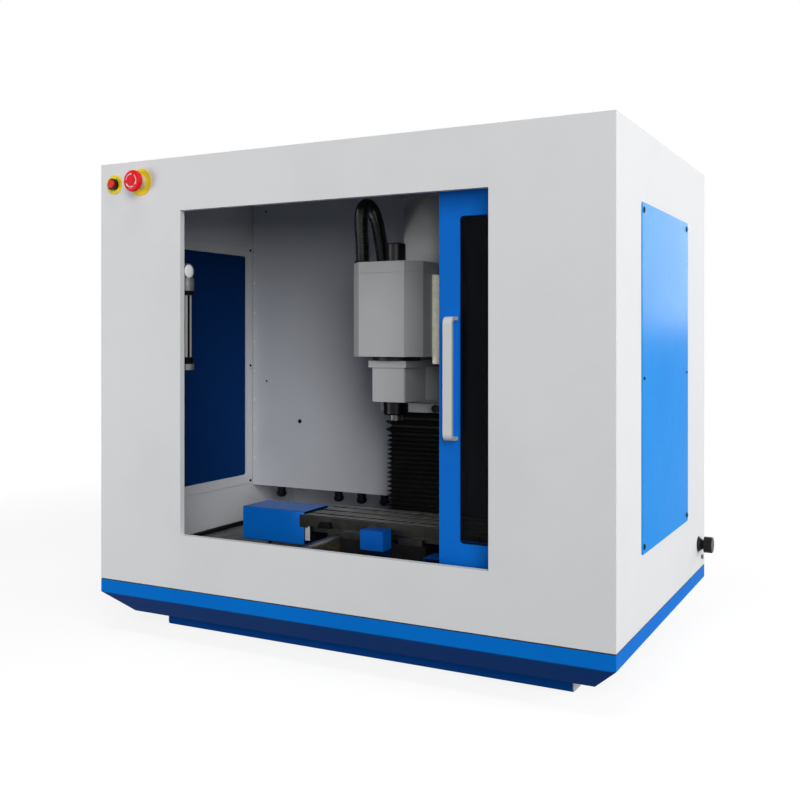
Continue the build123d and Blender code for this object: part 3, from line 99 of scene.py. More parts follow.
class Finish:
    """One material, or the world, filled with nodes by node()."""

    def __init__(self, name, owner=None):
        self.material = owner or bpy.data.materials.get(name) or bpy.data.materials.new(name)
        self.material.use_nodes = True
        self.tree = self.material.node_tree
        self.tree.nodes.clear()
        self.cached = {}

    def node(self, kind, settings=None, inputs=None, output=0):
        """Add a node: its settings first, then its sockets' values or links."""
        made = self.tree.nodes.new(kind)
        for key, setting in (settings or {}).items():
            setattr(made, key, setting)
        for key, given in (inputs or {}).items():
            if isinstance(given, Value):
                self.tree.links.new(given.socket, made.inputs[key])
            else:
                made.inputs[key].default_value = given
        return Value(self, made.outputs[output]) if len(made.outputs) else None

    def place(self):
        """Object coordinates, the shared frame in metres."""
        if "place" not in self.cached:
            self.cached["place"] = self.node("ShaderNodeTexCoord", output="Object")
        return self.cached["place"]

    def axes(self):
        """The three object coordinates as numbers."""
        if "axes" not in self.cached:
            split = self.node("ShaderNodeSeparateXYZ", {}, {0: self.place()})
            outputs = split.socket.node.outputs
            self.cached["axes"] = [Value(self, socket) for socket in outputs]
        return self.cached["axes"]

    def stretched(self, scale):
        """Object coordinates scaled along each axis."""
        return self.node("ShaderNodeMapping", {}, {0: self.place(), "Scale": scale})

    def noise(self, scale, detail=3.0, rough=0.55, stretch=None):
        """Noise from 0 to 1 with scale grains in a metre, stretched along the axes if asked."""
        vector = self.stretched(stretch) if stretch else self.place()
        inputs = {"Vector": vector, "Scale": scale, "Detail": detail, "Roughness": rough}
        return self.node("ShaderNodeTexNoise", {}, inputs)

    def mix(self, first, second, factor):
        """Colour between first and second."""
        inputs = {0: factor, 6: first, 7: second}
        for key in (6, 7):
            if not isinstance(inputs[key], Value):
                inputs[key] = (*inputs[key], 1)
        return self.node("ShaderNodeMix", {"data_type": "RGBA"}, inputs, output=2)

    def rounded(self, radius):
        """Normal as if every edge were rounded to radius."""
        return self.node("ShaderNodeBevel", {"samples": 4}, {"Radius": radius})

    def edges(self, radius):
        """1 along sharp edges within radius, 0 on open surfaces."""
        flat = self.node("ShaderNodeNewGeometry", output="Normal")
        level = self.node(
            "ShaderNodeVectorMath",
            {"operation": "DOT_PRODUCT"},
            {0: self.rounded(radius), 1: flat},
            output="Value",
        )
        bend_start, bend_full = 0.02, 0.3
        return (1 - level).step(bend_start, bend_full)

    def within(self, low, high, blur):
        """1 inside the box from low to high, 0 outside, with a blurred border."""
        inside = 1
        for axis, start, end in zip(self.axes(), low, high):
            entered = axis.step(start - blur, start + blur)
            left = axis.step(end - blur, end + blur)
            inside = entered * (1 - left) * inside
        return inside

    def bump(self, height, depth, strength, normal=None):
        """Normal bent by a height from 0 to 1 that stands for depth metres."""
        inputs = {"Height": height, "Distance": depth, "Strength": strength}
        if normal:
            inputs["Normal"] = normal
        return self.node("ShaderNodeBump", {}, inputs)

    def surface(self, **sockets):
        """Close the material with a Principled shader; socket names have _ for a space."""
        inputs = {key.replace("_", " "): given for key, given in sockets.items()}
        for key in ("Base Color", "Emission Color"):
            if key in inputs and not isinstance(inputs[key], Value):
                inputs[key] = (*inputs[key], 1)
        shader = self.node("ShaderNodeBsdfPrincipled", {}, inputs)
        self.node("ShaderNodeOutputMaterial", {}, {"Surface": shader})
        return self.material


def powder_coat(
    name, colour, dull, rub, rough=0.40, gloss=0.02, coat=0.0, scuffs=0.0, inside=None
):
    """Baked powder paint on folded sheet: orange peel, cloudy handling marks, drawn scuffs, and
    edges where it thins. Inside is a box, the darker colour painted in it as shade, and the
    border's blur."""
    fold, thinned, peel_depth = 0.0009, 0.0016, 0.00006
    finish = Finish(name)
    peel = finish.noise(900, detail=2)
    marks = finish.noise(5.5, detail=6, rough=0.62)
    tint = finish.mix(colour, dull, marks.step(0.40, 0.74) * 0.8)
    worn = finish.edges(thinned) * finish.noise(160, detail=4).step(0.4, 0.7)
    tint = finish.mix(tint, rub, worn * 0.5)
    if scuffs:
        drawn = finish.noise(1, detail=5, stretch=(170, 170, 16)).step(0.58, 0.74)
        patches = finish.noise(6, detail=3).step(0.50, 0.66)
        tint = finish.mix(tint, rub, drawn * patches * scuffs)
    # Painted shade: within the given box the colour turns to the darker colour painted as shade
    if inside:
        low, high, shade, blur = inside
        tint = finish.mix(tint, shade, finish.within(low, high, blur))
    return finish.surface(
        Base_Color=tint,
        Roughness=marks * 0.12 + peel * 0.06 + (rough - 0.09),
        Normal=finish.bump(peel, peel_depth, 0.5, finish.rounded(fold)),
        Specular_IOR_Level=gloss,
        Coat_Weight=coat,
        Coat_Roughness=0.25,
    )


def satin_plastic(name, colour, dull, rough, gloss=0.10):
    """Moulded plastic with a fine spark-eroded grain."""
    mould_edge, grain_depth = 0.0006, 0.00005
    finish = Finish(name)
    grain = finish.noise(2600, detail=2)
    marks = finish.noise(40, detail=5)
    return finish.surface(
        Base_Color=finish.mix(colour, dull, marks.step(0.4, 0.75)),
        Roughness=grain * 0.1 + marks * 0.14 + (rough - 0.12),
        Normal=finish.bump(grain, grain_depth, 0.45, finish.rounded(mould_edge)),
        Specular_IOR_Level=gloss,
    )


def bare_metal(name, colour, dull, rough, lay, metallic=1.0):
    """Machined metal: cutter marks drawn out along one axis, stains, and bright rubbed edges."""
    broken_edge, rubbed, mark_depth = 0.0005, 0.001, 0.00003
    finish = Finish(name)
    lines = finish.noise(1, detail=3, stretch=lay)
    stains = finish.noise(30, detail=6, rough=0.65)
    tint = finish.mix(colour, dull, stains.step(0.38, 0.74))
    bright = tuple(min(1, part * 1.5) for part in colour)
    tint = finish.mix(tint, bright, finish.edges(rubbed) * 0.7)
    return finish.surface(
        Base_Color=tint,
        Metallic=metallic,
        Roughness=lines * 0.16 + stains * 0.14 + (rough - 0.15),
        Normal=finish.bump(lines, mark_depth, 0.35, finish.rounded(broken_edge)),
    )


def cast_paint(name, colour, dull):
    """Enamel over sand-cast iron: the casting's pitting shows through, with oil stains."""
    cast_edge, pit_depth = 0.0015, 0.0004
    finish = Finish(name)
    sand = finish.noise(420, detail=4)
    waves = finish.noise(60, detail=3)
    stains = finish.noise(18, detail=6, rough=0.65)
    return finish.surface(
        Base_Color=finish.mix(colour, dull, stains.step(0.4, 0.72)),
        Roughness=stains * 0.16 + 0.36,
        Normal=finish.bump(sand * 0.6 + waves, pit_depth, 0.5, finish.rounded(cast_edge)),
        Specular_IOR_Level=0.06,
    )


def ground_table(name):
    """Ground cast iron of the table: pale worn lands, slots painted near black as shade, oily sides
    and rubbed edges, with grinding lines along X."""
    land_start, land_full = 0.2146, 0.2149
    slot_low, slot_high = (-1, -0.1285, 0.2), (1, 1, land_start)
    broken_edge, rubbed, line_depth = 0.0006, 0.0012, 0.00004
    finish = Finish(name)
    lines = finish.noise(1, detail=3, stretch=(12, 1100, 1100))
    oil = finish.noise(26, detail=6, rough=0.66)
    land = finish.axes()[2].step(land_start, land_full)
    wear = (oil * 0.7 + lines * 0.3).step(0.34, 0.68)
    worn = finish.mix((0.42, 0.415, 0.395), (0.20, 0.198, 0.188), wear)
    # Painted shade: the slots are painted near black and without metal, as the shade inside them
    shaded_slots = finish.within(slot_low, slot_high, 0.0003)
    corners = finish.edges(rubbed) * oil.step(0.3, 0.6) * 0.6 * (1 - shaded_slots)
    tint = finish.mix((0.040, 0.039, 0.037), (0.016, 0.016, 0.015), oil.step(0.36, 0.7))
    tint = finish.mix(tint, (0.005, 0.005, 0.005), shaded_slots)
    tint = finish.mix(tint, worn, land)
    tint = finish.mix(tint, (0.44, 0.44, 0.42), corners)
    return finish.surface(
        Base_Color=tint,
        Metallic=(1 - shaded_slots) * 0.55,
        Roughness=lines * 0.16 + oil * 0.18 + 0.30,
        Normal=finish.bump(lines, line_depth, 0.4, finish.rounded(broken_edge)),
        Specular_IOR_Level=0.08,
    )


def oily_tray(name):
    """Painted steel tray under the work: grey paint with coolant tide marks, much darker towards
    the middle, and brassy swarf dust."""
    fold, dust_depth = 0.0008, 0.0003
    dark_start, dark_full = 0.30, 0.10
    finish = Finish(name)
    tide = finish.noise(14, detail=7, rough=0.68)
    heaps = finish.noise(20, detail=4).step(0.46, 0.66)
    dust = finish.noise(700, detail=3).step(0.60, 0.72) * heaps
    near_work = abs(finish.axes()[0]).step(dark_start, dark_full)
    tint = finish.mix((0.20, 0.20, 0.20), (0.085, 0.082, 0.078), tide.step(0.36, 0.64))
    # Much darker towards the middle, under the work
    tint = finish.mix(tint, (0.020, 0.018, 0.015), near_work * 0.92)
    tint = finish.mix(tint, (0.50, 0.33, 0.10), dust * near_work * 0.7)
    return finish.surface(
        Base_Color=tint,
        Metallic=dust * 0.6,
        Roughness=tide * 0.3 + 0.22,
        Normal=finish.bump(dust + tide * 0.3, dust_depth, 0.5, finish.rounded(fold)),
    )


def bellows_cloth(name):
    """Coated black cloth: a fine twill under a dull rubbery skin, greyer with dust in places."""
    thread, twill_depth = 0.0016, 0.0001
    clean, dusty = (0.002, 0.002, 0.0022), (0.007, 0.007, 0.0072)
    finish = Finish(name)
    x, _, z = finish.axes()
    twill = (x + z).wave(thread) * (x - z).wave(thread)
    dust = finish.noise(22, detail=6)
    return finish.surface(
        Base_Color=finish.mix(clean, dusty, dust.step(0.45, 0.8)),
        Roughness=twill * 0.12 + dust * 0.15 + 0.48,
        Normal=finish.bump(twill, twill_depth, 0.4),
        Specular_IOR_Level=0.3,
    )


def tinted_pane(name):
    """Smoked acrylic sheet: dark tint, polished faces, wiping smears along its height, and a little
    dust towards its lower edge."""
    dust_top, dust_fall, cover = 0.62, 0.45, 0.40
    clean, dusty = (0.0020, 0.0028, 0.0050), (0.014, 0.015, 0.017)
    finish = Finish(name)
    low_down = (dust_top - finish.axes()[2]).step(0.0, dust_fall)
    dust = finish.noise(120, detail=6).step(0.5, 0.8) * low_down
    smear = finish.noise(1, detail=4, stretch=(45, 45, 5)).step(0.45, 0.75)
    return finish.surface(
        Base_Color=finish.mix(clean, dusty, dust.above(smear * 0.6)),
        Roughness=dust * 0.2 + 0.05,
        Alpha=dust * 0.06 + smear * 0.05 + cover,
        Specular_IOR_Level=0.04,
    )


def lamp_body(name):
    """Work light: a dark tube with two pale strips along it, black rubber collars and dull metal
    brackets. The strips are bands across the tube, the collars and the tube bands of height."""
    tube_x, tube_y = -0.313, -0.303
    facing_x, facing_y = 0.886, 0.464
    lower_collar, tube_bottom, tube_top, upper_collar = 0.509, 0.522, 0.636, 0.644
    metal, dull = (0.19, 0.19, 0.195), (0.11, 0.11, 0.115)
    rubber, strip = (0.003, 0.003, 0.0033), (0.34, 0.34, 0.33)
    blur, broken_edge, line_depth = 0.0005, 0.0006, 0.00003
    finish = Finish(name)
    x, y, z = finish.axes()

    def band(start, end):
        return z.step(start - blur, start + blur) * (1 - z.step(end - blur, end + blur))

    drawn = finish.noise(1, detail=3, stretch=(900, 900, 14))
    scuffs = finish.noise(60, detail=5)
    tube = band(tube_bottom, tube_top)
    lower, upper = band(lower_collar, tube_bottom), band(tube_top, upper_collar)
    dark = lower.above(upper).above(tube)
    lateral = (x - tube_x) * facing_x + (y - tube_y) * facing_y
    wide_strip = lateral.step(-0.0029, -0.0023) * (1 - lateral.step(0.0022, 0.0028))
    thin_strip = lateral.step(0.0059, 0.0064) * (1 - lateral.step(0.0084, 0.0088))
    tint = finish.mix(metal, dull, (drawn * 0.5 + scuffs * 0.5).step(0.4, 0.7))
    tint = finish.mix(tint, rubber, dark)
    return finish.surface(
        Base_Color=finish.mix(tint, strip, tube * wide_strip.above(thin_strip)),
        Metallic=(1 - dark) * 0.3,
        Roughness=scuffs * 0.15 + 0.32,
        Normal=finish.bump(drawn, line_depth, 0.4, finish.rounded(broken_edge)),
        Specular_IOR_Level=0.02,
    )


def glowing_lens(name, colour, dull, painted_glow):
    """Opal plastic lens: milky, faintly dusty, with a soft sheen, and an even glow painted on as
    light.
    """
    grain_depth = 0.00003
    finish = Finish(name)
    haze = finish.noise(90, detail=5)
    grain = finish.noise(2200, detail=2)
    milk = finish.mix(colour, dull, haze.step(0.4, 0.75))
    return finish.surface(
        Base_Color=milk,
        Roughness=haze * 0.12 + 0.24,
        Normal=finish.bump(grain, grain_depth, 0.4),
        Coat_Weight=0.2,
        Coat_Roughness=0.1,
        # Painted light: an even emission that brightens the lens
        Emission_Color=milk,
        Emission_Strength=painted_glow,
    )


# Cabinet and covers: colour, dull colour, and the colour of rubbed places
powder_coat(
    "cabinet_white", (0.80, 0.812, 0.83), (0.765, 0.776, 0.79), (0.86, 0.86, 0.86),
    rough=0.52, gloss=0.0005)
powder_coat(
    "machine_blue", (0.0025, 0.165, 0.690), (0.0022, 0.145, 0.630), (0.03, 0.24, 0.78),
    gloss=0.06, scuffs=0.10)
powder_coat(
    "tray_grey", (0.72, 0.74, 0.78), (0.68, 0.70, 0.735), (0.78, 0.79, 0.82), rough=0.46)
powder_coat(
    "head_grey", (0.47, 0.485, 0.49), (0.43, 0.442, 0.445), (0.60, 0.61, 0.61), rough=0.36)
powder_coat(
    "handle_white", (0.70, 0.71, 0.72), (0.64, 0.65, 0.66), (0.86, 0.86, 0.86),
    rough=0.30, coat=0.2)
column_grey = powder_coat(
    "column_grey", (0.50, 0.51, 0.515), (0.46, 0.47, 0.475), (0.60, 0.61, 0.61),
    rough=0.36, gloss=0.5, coat=0.6)

# Covers with painted shade: a darker colour painted where shade falls, on inner faces, the pan's
# taper, lower halves and the side of the bracket
# Painted shade: the access panels' inner faces are painted a darker blue
access_blue = powder_coat(
    "access_blue", (0.006, 0.285, 0.830), (0.005, 0.262, 0.780), (0.08, 0.42, 0.88),
    rough=0.28, gloss=0.006, scuffs=0.14,
    inside=((-0.50075, -1, 0), (0.50075, 1, 1), (0.004, 0.038, 0.170), 0.0002))
# Painted shade: the pan's taper below z 0.0705, which faces down, is painted a darker blue
pan_blue = powder_coat(
    "pan_blue", (0.0030, 0.185, 0.700), (0.0026, 0.165, 0.640), (0.04, 0.26, 0.74),
    rough=0.44, gloss=0.008, scuffs=0.10,
    inside=((-1, -1, -1), (1, 1, 0.0705), (0.0026, 0.062, 0.300), 0.0025))
# Painted shade: this navy is painted on the motor cover's inner faces and the low switch boxes
shaded_navy = (0.002, 0.018, 0.07)
cover_low, cover_high = (-0.31325, -0.12925, 0.15575), (-0.1, -0.04275, 0.21925)
cover_blue = powder_coat(
    "cover_blue", (0.0025, 0.205, 0.850), (0.0022, 0.185, 0.790), (0.03, 0.28, 0.90),
    rough=0.34, gloss=0.25, scuffs=0.14, inside=(cover_low, cover_high, shaded_navy, 0.0003))
# Painted shade: below z 0.1675 the switch boxes are painted the shaded navy
switch_blue = powder_coat(
    "switch_blue", (0.0025, 0.115, 0.520), (0.0022, 0.100, 0.470), (0.03, 0.20, 0.66),
    rough=0.40, gloss=0.06, inside=((-1, -1, 0), (1, 1, 0.1675), shaded_navy, 0.0003))
# Painted shade: behind its front face the bracket's sides are painted near black
bracket_pale = powder_coat(
    "bracket_pale", (0.70, 0.70, 0.69), (0.60, 0.60, 0.59), (0.80, 0.80, 0.80),
    rough=0.40, inside=((-1, -0.1255, 0), (1, 1, 1), (0.010, 0.010, 0.010), 0.0003))

# Plastics and rubber: colour and dull colour
satin_plastic("legend_yellow", (0.93, 0.72, 0.03), (0.86, 0.64, 0.025), rough=0.36)
button_red = satin_plastic(
    "button_red", (0.88, 0.014, 0.024), (0.78, 0.011, 0.018), rough=0.26)
satin_plastic("motor_black", (0.016, 0.016, 0.018), (0.03, 0.03, 0.031), rough=0.34)
black_plastic = satin_plastic(
    "black_plastic", (0.004, 0.004, 0.0045), (0.009, 0.009, 0.0095), rough=0.34, gloss=0.25)
gland_grey = satin_plastic(
    "gland_grey", (0.014, 0.0135, 0.016), (0.026, 0.0255, 0.028), rough=0.36, gloss=0.12)
start_red = satin_plastic(
    "start_red", (0.88, 0.045, 0.014), (0.76, 0.035, 0.011), rough=0.28)
arrow_white = satin_plastic(
    "arrow_white", (0.86, 0.83, 0.82), (0.78, 0.74, 0.72), rough=0.4)
collar_silver = satin_plastic(
    "collar_silver", (0.60, 0.57, 0.47), (0.50, 0.47, 0.38), rough=0.34)
cap_grey = satin_plastic("cap_grey", (0.46, 0.47, 0.48), (0.38, 0.39, 0.40), rough=0.46)

# Metals: colour, dull colour, roughness, and how far the marks are drawn out along each axis
bare_metal("track_aluminium", (0.40, 0.405, 0.41), (0.30, 0.305, 0.31), 0.40, (8, 1200, 1200))
bright_steel = bare_metal(
    "bright_steel", (0.50, 0.505, 0.515), (0.36, 0.36, 0.365), 0.32, (30, 700, 700))
black_steel = bare_metal(
    "black_steel", (0.008, 0.008, 0.009), (0.015, 0.015, 0.015), 0.34, (60, 500, 500),
    metallic=0.95)
oiled_steel = bare_metal(
    "oiled_steel", (0.075, 0.074, 0.070), (0.030, 0.029, 0.027), 0.34, (40, 700, 700),
    metallic=0.8)
chip_brass = bare_metal(
    "chip_brass", (0.72, 0.46, 0.14), (0.52, 0.32, 0.09), 0.32, (300, 300, 300), metallic=0.35)
rivet_steel = bare_metal(
    "rivet_steel", (0.92, 0.92, 0.92), (0.84, 0.84, 0.84), 0.30, (200, 200, 200), metallic=0.0)
earth_steel = bare_metal(
    "earth_steel", (0.34, 0.34, 0.33), (0.12, 0.12, 0.12), 0.30, (300, 300, 300), metallic=0.6)
cast_paint("cast_grey", (0.017, 0.017, 0.0175), (0.010, 0.010, 0.010))

# Finishes of one kind of piece
table_iron = ground_table("table_iron")
bellows_black = bellows_cloth("bellows_black")
tinted_pane("window_tint")
lamp_body("lamp_grey")
# Painted light: both lenses glow evenly so that they read brighter
lamp_cream = glowing_lens("lamp_cream", (0.78, 0.75, 0.61), (0.66, 0.63, 0.50), painted_glow=0.28)
lens_white = glowing_lens("lens_white", (0.90, 0.905, 0.90), (0.82, 0.825, 0.82), painted_glow=0.12)
tray_finish = oily_tray("oily_tray")

own_finishes = {
    "access_panels": access_blue,
    "base_pan": pan_blue,
    "foot_rails": pan_blue,
    "chip_tray": tray_finish,
    "estop_body": collar_silver,
    "start_button": start_red,
    "saddle_carriages": oiled_steel,
    "saddle_nuts": oiled_steel,
    "y_guide_rails": oiled_steel,
    "x_guide_rails": oiled_steel,
    "lower_door_track": oiled_steel,
    "column": column_grey,
    "x_motor_cover": cover_blue,
    "x_limit_switch_box": switch_blue,
    "y_limit_switch_box": switch_blue,
    "collet_nut": oiled_steel,
    "x_bearing_blocks": bracket_pale,
}
for node_name, own_finish in own_finishes.items():
    for node_slot in nodes[node_name].material_slots:
        node_slot.material = own_finish


def put_mesh(name, points, faces, material, smooth=True, uvs=None):
    """Object at the origin from an array of points and one of four-cornered faces: points that lie
    together are merged, and all faces look outwards."""
    together = 0.000002
    mesh = bpy.data.meshes.new(name)
    mesh.from_pydata(points.tolist(), [], faces.tolist())
    mesh.polygons.foreach_set("use_smooth", np.full(len(mesh.polygons), smooth))
    if uvs is not None:
        layer = mesh.uv_layers.new(name="UVMap")
        corners = np.empty(len(mesh.loops), np.int32)
        mesh.loops.foreach_get("vertex_index", corners)
        layer.data.foreach_set("uv", uvs[corners].astype(np.float32).ravel())
    shell = bmesh.new()
    shell.from_mesh(mesh)
    bmesh.ops.remove_doubles(shell, verts=shell.verts, dist=together)
    bmesh.ops.recalc_face_normals(shell, faces=shell.faces)
    shell.to_mesh(mesh)
    shell.free()
    piece = bpy.data.objects.new(name, mesh)
    bpy.context.scene.collection.objects.link(piece)
    piece.data.materials.append(material)
    return piece


def grid_faces(rows, columns):
    """Faces of a grid of rows by columns, with the last column joined to the first."""
    row, column = np.meshgrid(np.arange(rows - 1), np.arange(columns), indexing="ij")
    following = (column + 1) % columns
    corners = [
        row * columns + column,
        row * columns + following,
        (row + 1) * columns + following,
        (row + 1) * columns + column,
    ]
    return np.stack(corners, axis=-1).reshape(-1, 4)


def joined(*shells):
    """One array of points and one of faces, from several pairs of them."""
    starts = np.cumsum([0] + [len(points) for points, faces in shells[:-1]])
    points = np.concatenate([points for points, faces in shells])
    faces = np.concatenate([faces + start for (points, faces), start in zip(shells, starts)])
    return points, faces


def turned_studs(places, outward, profile, around=20):
    """Lathe shapes at many places: each row of the profile is a ring of radius r at height h along
    outward; a ring marked 1 follows six flats, one marked 0 a circle. All in millimetres."""
    outward = np.array(outward, float)
    side = np.array((1.0, 0, 0)) if abs(outward[2]) > 0.5 else np.array((0, 0, 1.0))
    up = np.cross(outward, side)
    radius, height, hexed = np.array(profile, float).T
    angles = np.linspace(0, TURN, around, endpoint=False)
    flats = 1 / np.cos((angles + TURN / 12) % (TURN / 6) - TURN / 12)
    spread = radius[:, None] * (1 + hexed[:, None] * (flats[None] - 1))
    ring = np.cos(angles)[:, None] * side + np.sin(angles)[:, None] * up
    stud = spread[:, :, None] * ring[None] + height[:, None, None] * outward
    faces = grid_faces(len(radius), around)
    return joined(*[((np.array(place) + stud).reshape(-1, 3) * MM, faces) for place in places])


def capped(rings):
    """Points of stacked rings, with a first and a last ring drawn together to close the ends."""
    ends = [np.broadcast_to(rings[index].mean(axis=0), rings[:1].shape) for index in (0, -1)]
    return np.concatenate([ends[0], rings, ends[1]]).reshape(-1, 3)


def squarish_oval(around, power):
    """Oval that fills the square from -1 to 1: cosine and sine of the angle, raised to a power."""
    angle = np.linspace(0, TURN, around, endpoint=False)
    round_points = np.column_stack([np.cos(angle), np.sin(angle)])
    return np.sign(round_points) * np.abs(round_points) ** power


def thick_sheets(upper, lower):
    """Closed slabs between grids of upper and lower points: each slab's columns run along the upper
    grid, over the edge and back along the lower one, and its end rows are drawn together."""
    loops = np.concatenate([upper, lower[:, :, ::-1]], axis=2)
    faces = grid_faces(loops.shape[1] + 2, loops.shape[2])
    return joined(*[(capped(loop), faces) for loop in loops])


def route_line(name, route):
    """Points along the NURBS spline whose control points are the route."""
    curve = bpy.data.curves.new(name, "CURVE")
    curve.dimensions = "3D"
    spline = curve.splines.new("NURBS")
    spline.points.add(len(route) - 1)
    spline.points.foreach_set("co", np.column_stack([np.array(route), np.ones(len(route))]).ravel())
    spline.order_u = 3
    spline.use_endpoint_u = True
    spline.resolution_u = 24
    carrier = bpy.data.objects.new(name, curve)
    bpy.context.scene.collection.objects.link(carrier)
    bpy.context.view_layer.update()
    line = bpy.data.meshes.new_from_object(carrier)
    points = np.empty(len(line.vertices) * 3)
    line.vertices.foreach_get("co", points)
    bpy.data.objects.remove(carrier)
    bpy.data.curves.remove(curve)
    bpy.data.meshes.remove(line)
    return points.reshape(-1, 3)


def carried_frames(points):
    """Two directions across a line at each of its points, carried along it without twist."""
    start_hint = (0.31, 0.83, 0.47)
    tangents = np.gradient(points, axis=0)
    tangents /= np.linalg.norm(tangents, axis=1)[:, None]
    side = np.cross(tangents[0], start_hint)
    sides = []
    for tangent in tangents:
        side = side - tangent * (side @ tangent)
        side = side / np.linalg.norm(side)
        sides.append(side)
    sides = np.array(sides)
    return sides, np.cross(tangents, sides)


def swept_tube(name, line, step, around, radius, material):
    """Closed tube along a line: at arc length s and angle a its point is the line plus radius(s, a)
    round the carried frame; a first and a last ring of no radius close the ends. Returns the tube
    and the points that it follows."""
    spans = np.linalg.norm(np.diff(line, axis=0), axis=1)
    lengths = np.concatenate([[0], np.cumsum(spans)])
    places = np.linspace(0, lengths[-1], int(lengths[-1] / step) + 1)
    points = np.column_stack([np.interp(places, lengths, line[:, axis]) for axis in range(3)])
    sides, ups = carried_frames(points)
    angles = np.linspace(0, TURN, around, endpoint=False)
    cosines, sines = np.cos(angles)[None, :, None], np.sin(angles)[None, :, None]
    ring = cosines * sides[:, None] + sines * ups[:, None]
    spread = np.broadcast_to(radius(places[:, None], angles[None]), (len(places), around))
    shell = points[:, None] + ring * spread[:, :, None]
    ends = [np.broadcast_to(points[index], (1, around, 3)) for index in (0, -1)]
    shell = np.concatenate([ends[0], shell, ends[1]])
    places = np.concatenate([places[:1], places, places[-1:]])
    uvs = np.stack(np.broadcast_arrays(places[:, None], angles[None] / TURN), axis=-1)
    faces = grid_faces(len(places), around)
    tube = put_mesh(name, shell.reshape(-1, 3), faces, material, uvs=uvs.reshape(-1, 2))
    return tube, points


head_conduit_route = np.array([
    (-60, -92, 700), (-60, -92, 732), (-64, -90, 768), (-70, -79, 799), (-76, -57, 817),
    (-79, -30, 820), (-82, -6, 809), (-85, 14, 787), (-88, 31, 757), (-91, 45, 725),
    (-93, 59, 692), (-94, 77, 660), (-93, 99, 631), (-92, 124, 612), (-92, 153, 612),
]) * MM
motor_lead_route = np.array([
    (-92, -56, 168), (-114, -56, 168), (-137, -60, 163), (-160, -69, 152), (-185, -80, 143),
    (-211, -87, 138), (-237, -88, 135), (-255, -86, 134), (-268, -83, 136), (-276, -81, 141),
    (-279, -80, 148), (-279, -80, 155),
]) * MM


def conduit_plastic(name, pitch, ridge, groove_dust):
    """Ribbed or wrapped plastic: glossy ridges with dust in the grooves, read along its length."""
    finish = Finish(name)
    uv = finish.node("ShaderNodeUVMap", {"uv_map": "UVMap"})
    along = finish.node("ShaderNodeSeparateXYZ", {}, {0: uv})
    groove = 1 - along.wave(pitch)
    dust = finish.noise(90, detail=5)
    return finish.surface(
        Base_Color=finish.mix(ridge, groove_dust, groove * dust),
        Roughness=groove * 0.16 + dust * 0.1 + 0.14,
        Coat_Weight=0.3,
        Coat_Roughness=0.08,
    )


# Corrugated conduit from the head's roof to the compartment liner
conduit_pitch, conduit_radius, rib_height = 0.0042, 0.0128, 0.0007


def conduit_ribs(s, a):
    """Radius with flat-topped ribs: the square root of a sine of the arc length, with its sign."""
    wave = np.sin(TURN * s / conduit_pitch)
    return conduit_radius + rib_height * np.sign(wave) * np.abs(wave) ** 0.5


conduit_black = conduit_plastic(
    "conduit_black", conduit_pitch, (0.0025, 0.0025, 0.0028), (0.006, 0.006, 0.0062))
conduit, conduit_path = swept_tube(
    "corrugated_conduit", route_line("conduit_route", head_conduit_route),
    step=conduit_pitch / 8, around=28, radius=conduit_ribs, material=conduit_black)
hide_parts("head_conduit")
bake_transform(conduit)

# Lead of the X motor, wrapped in spiral band
wrap_pitch, lead_radius, band_height = 0.0055, 0.0043, 0.0007


def spiral_band(s, a):
    """Radius with a band wound round the lead: a soft step where arc length and angle agree."""
    steepness, band_share = 8, 0.25
    wound = np.sin(TURN * s / wrap_pitch - a) + band_share
    return lead_radius + band_height / (1 + np.exp(-steepness * wound))


lead_wrap = conduit_plastic("lead_wrap", wrap_pitch, (0.40, 0.40, 0.41), (0.06, 0.06, 0.06))
lead, lead_path = swept_tube(
    "motor_lead_cable", route_line("lead_route", motor_lead_route),
    step=wrap_pitch / 8, around=20, radius=spiral_band, material=lead_wrap)
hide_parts("motor_lead")
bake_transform(lead)

# Fittings at the cords' ends: a ring round the conduit, a hex nut with a sleeve round the lead
conduit_fitting = [(0, 0, 0), (15.4, 0, 0), (15.4, 3, 0), (14.6, 5, 0), (0, 5, 0)]
lead_fitting = [
    (0, 0, 0), (8, 0, 1), (8, 5, 1), (7.4, 6, 0), (7.2, 12, 0), (5.8, 15, 0), (0, 15, 0)]
for name, place, outward, profile, body in (
    ("head_conduit_nut", (-60, -92, 700), (0, 0, 1), conduit_fitting, "head"),
    ("liner_conduit_nut", (-92, 153, 612), (0, -1, 0), conduit_fitting, "cabinet"),
    ("saddle_lead_nut", (-92, -56, 168), (-1, 0, 0), lead_fitting, "saddle"),
    ("cover_lead_nut", (-279, -80, 155), (0, 0, -1), lead_fitting, "table"),
):
    shape = turned_studs([place], outward, profile, around=36)
    fitting = put_mesh(name, *shape, gland_grey, smooth=False)
    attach(fitting, body)


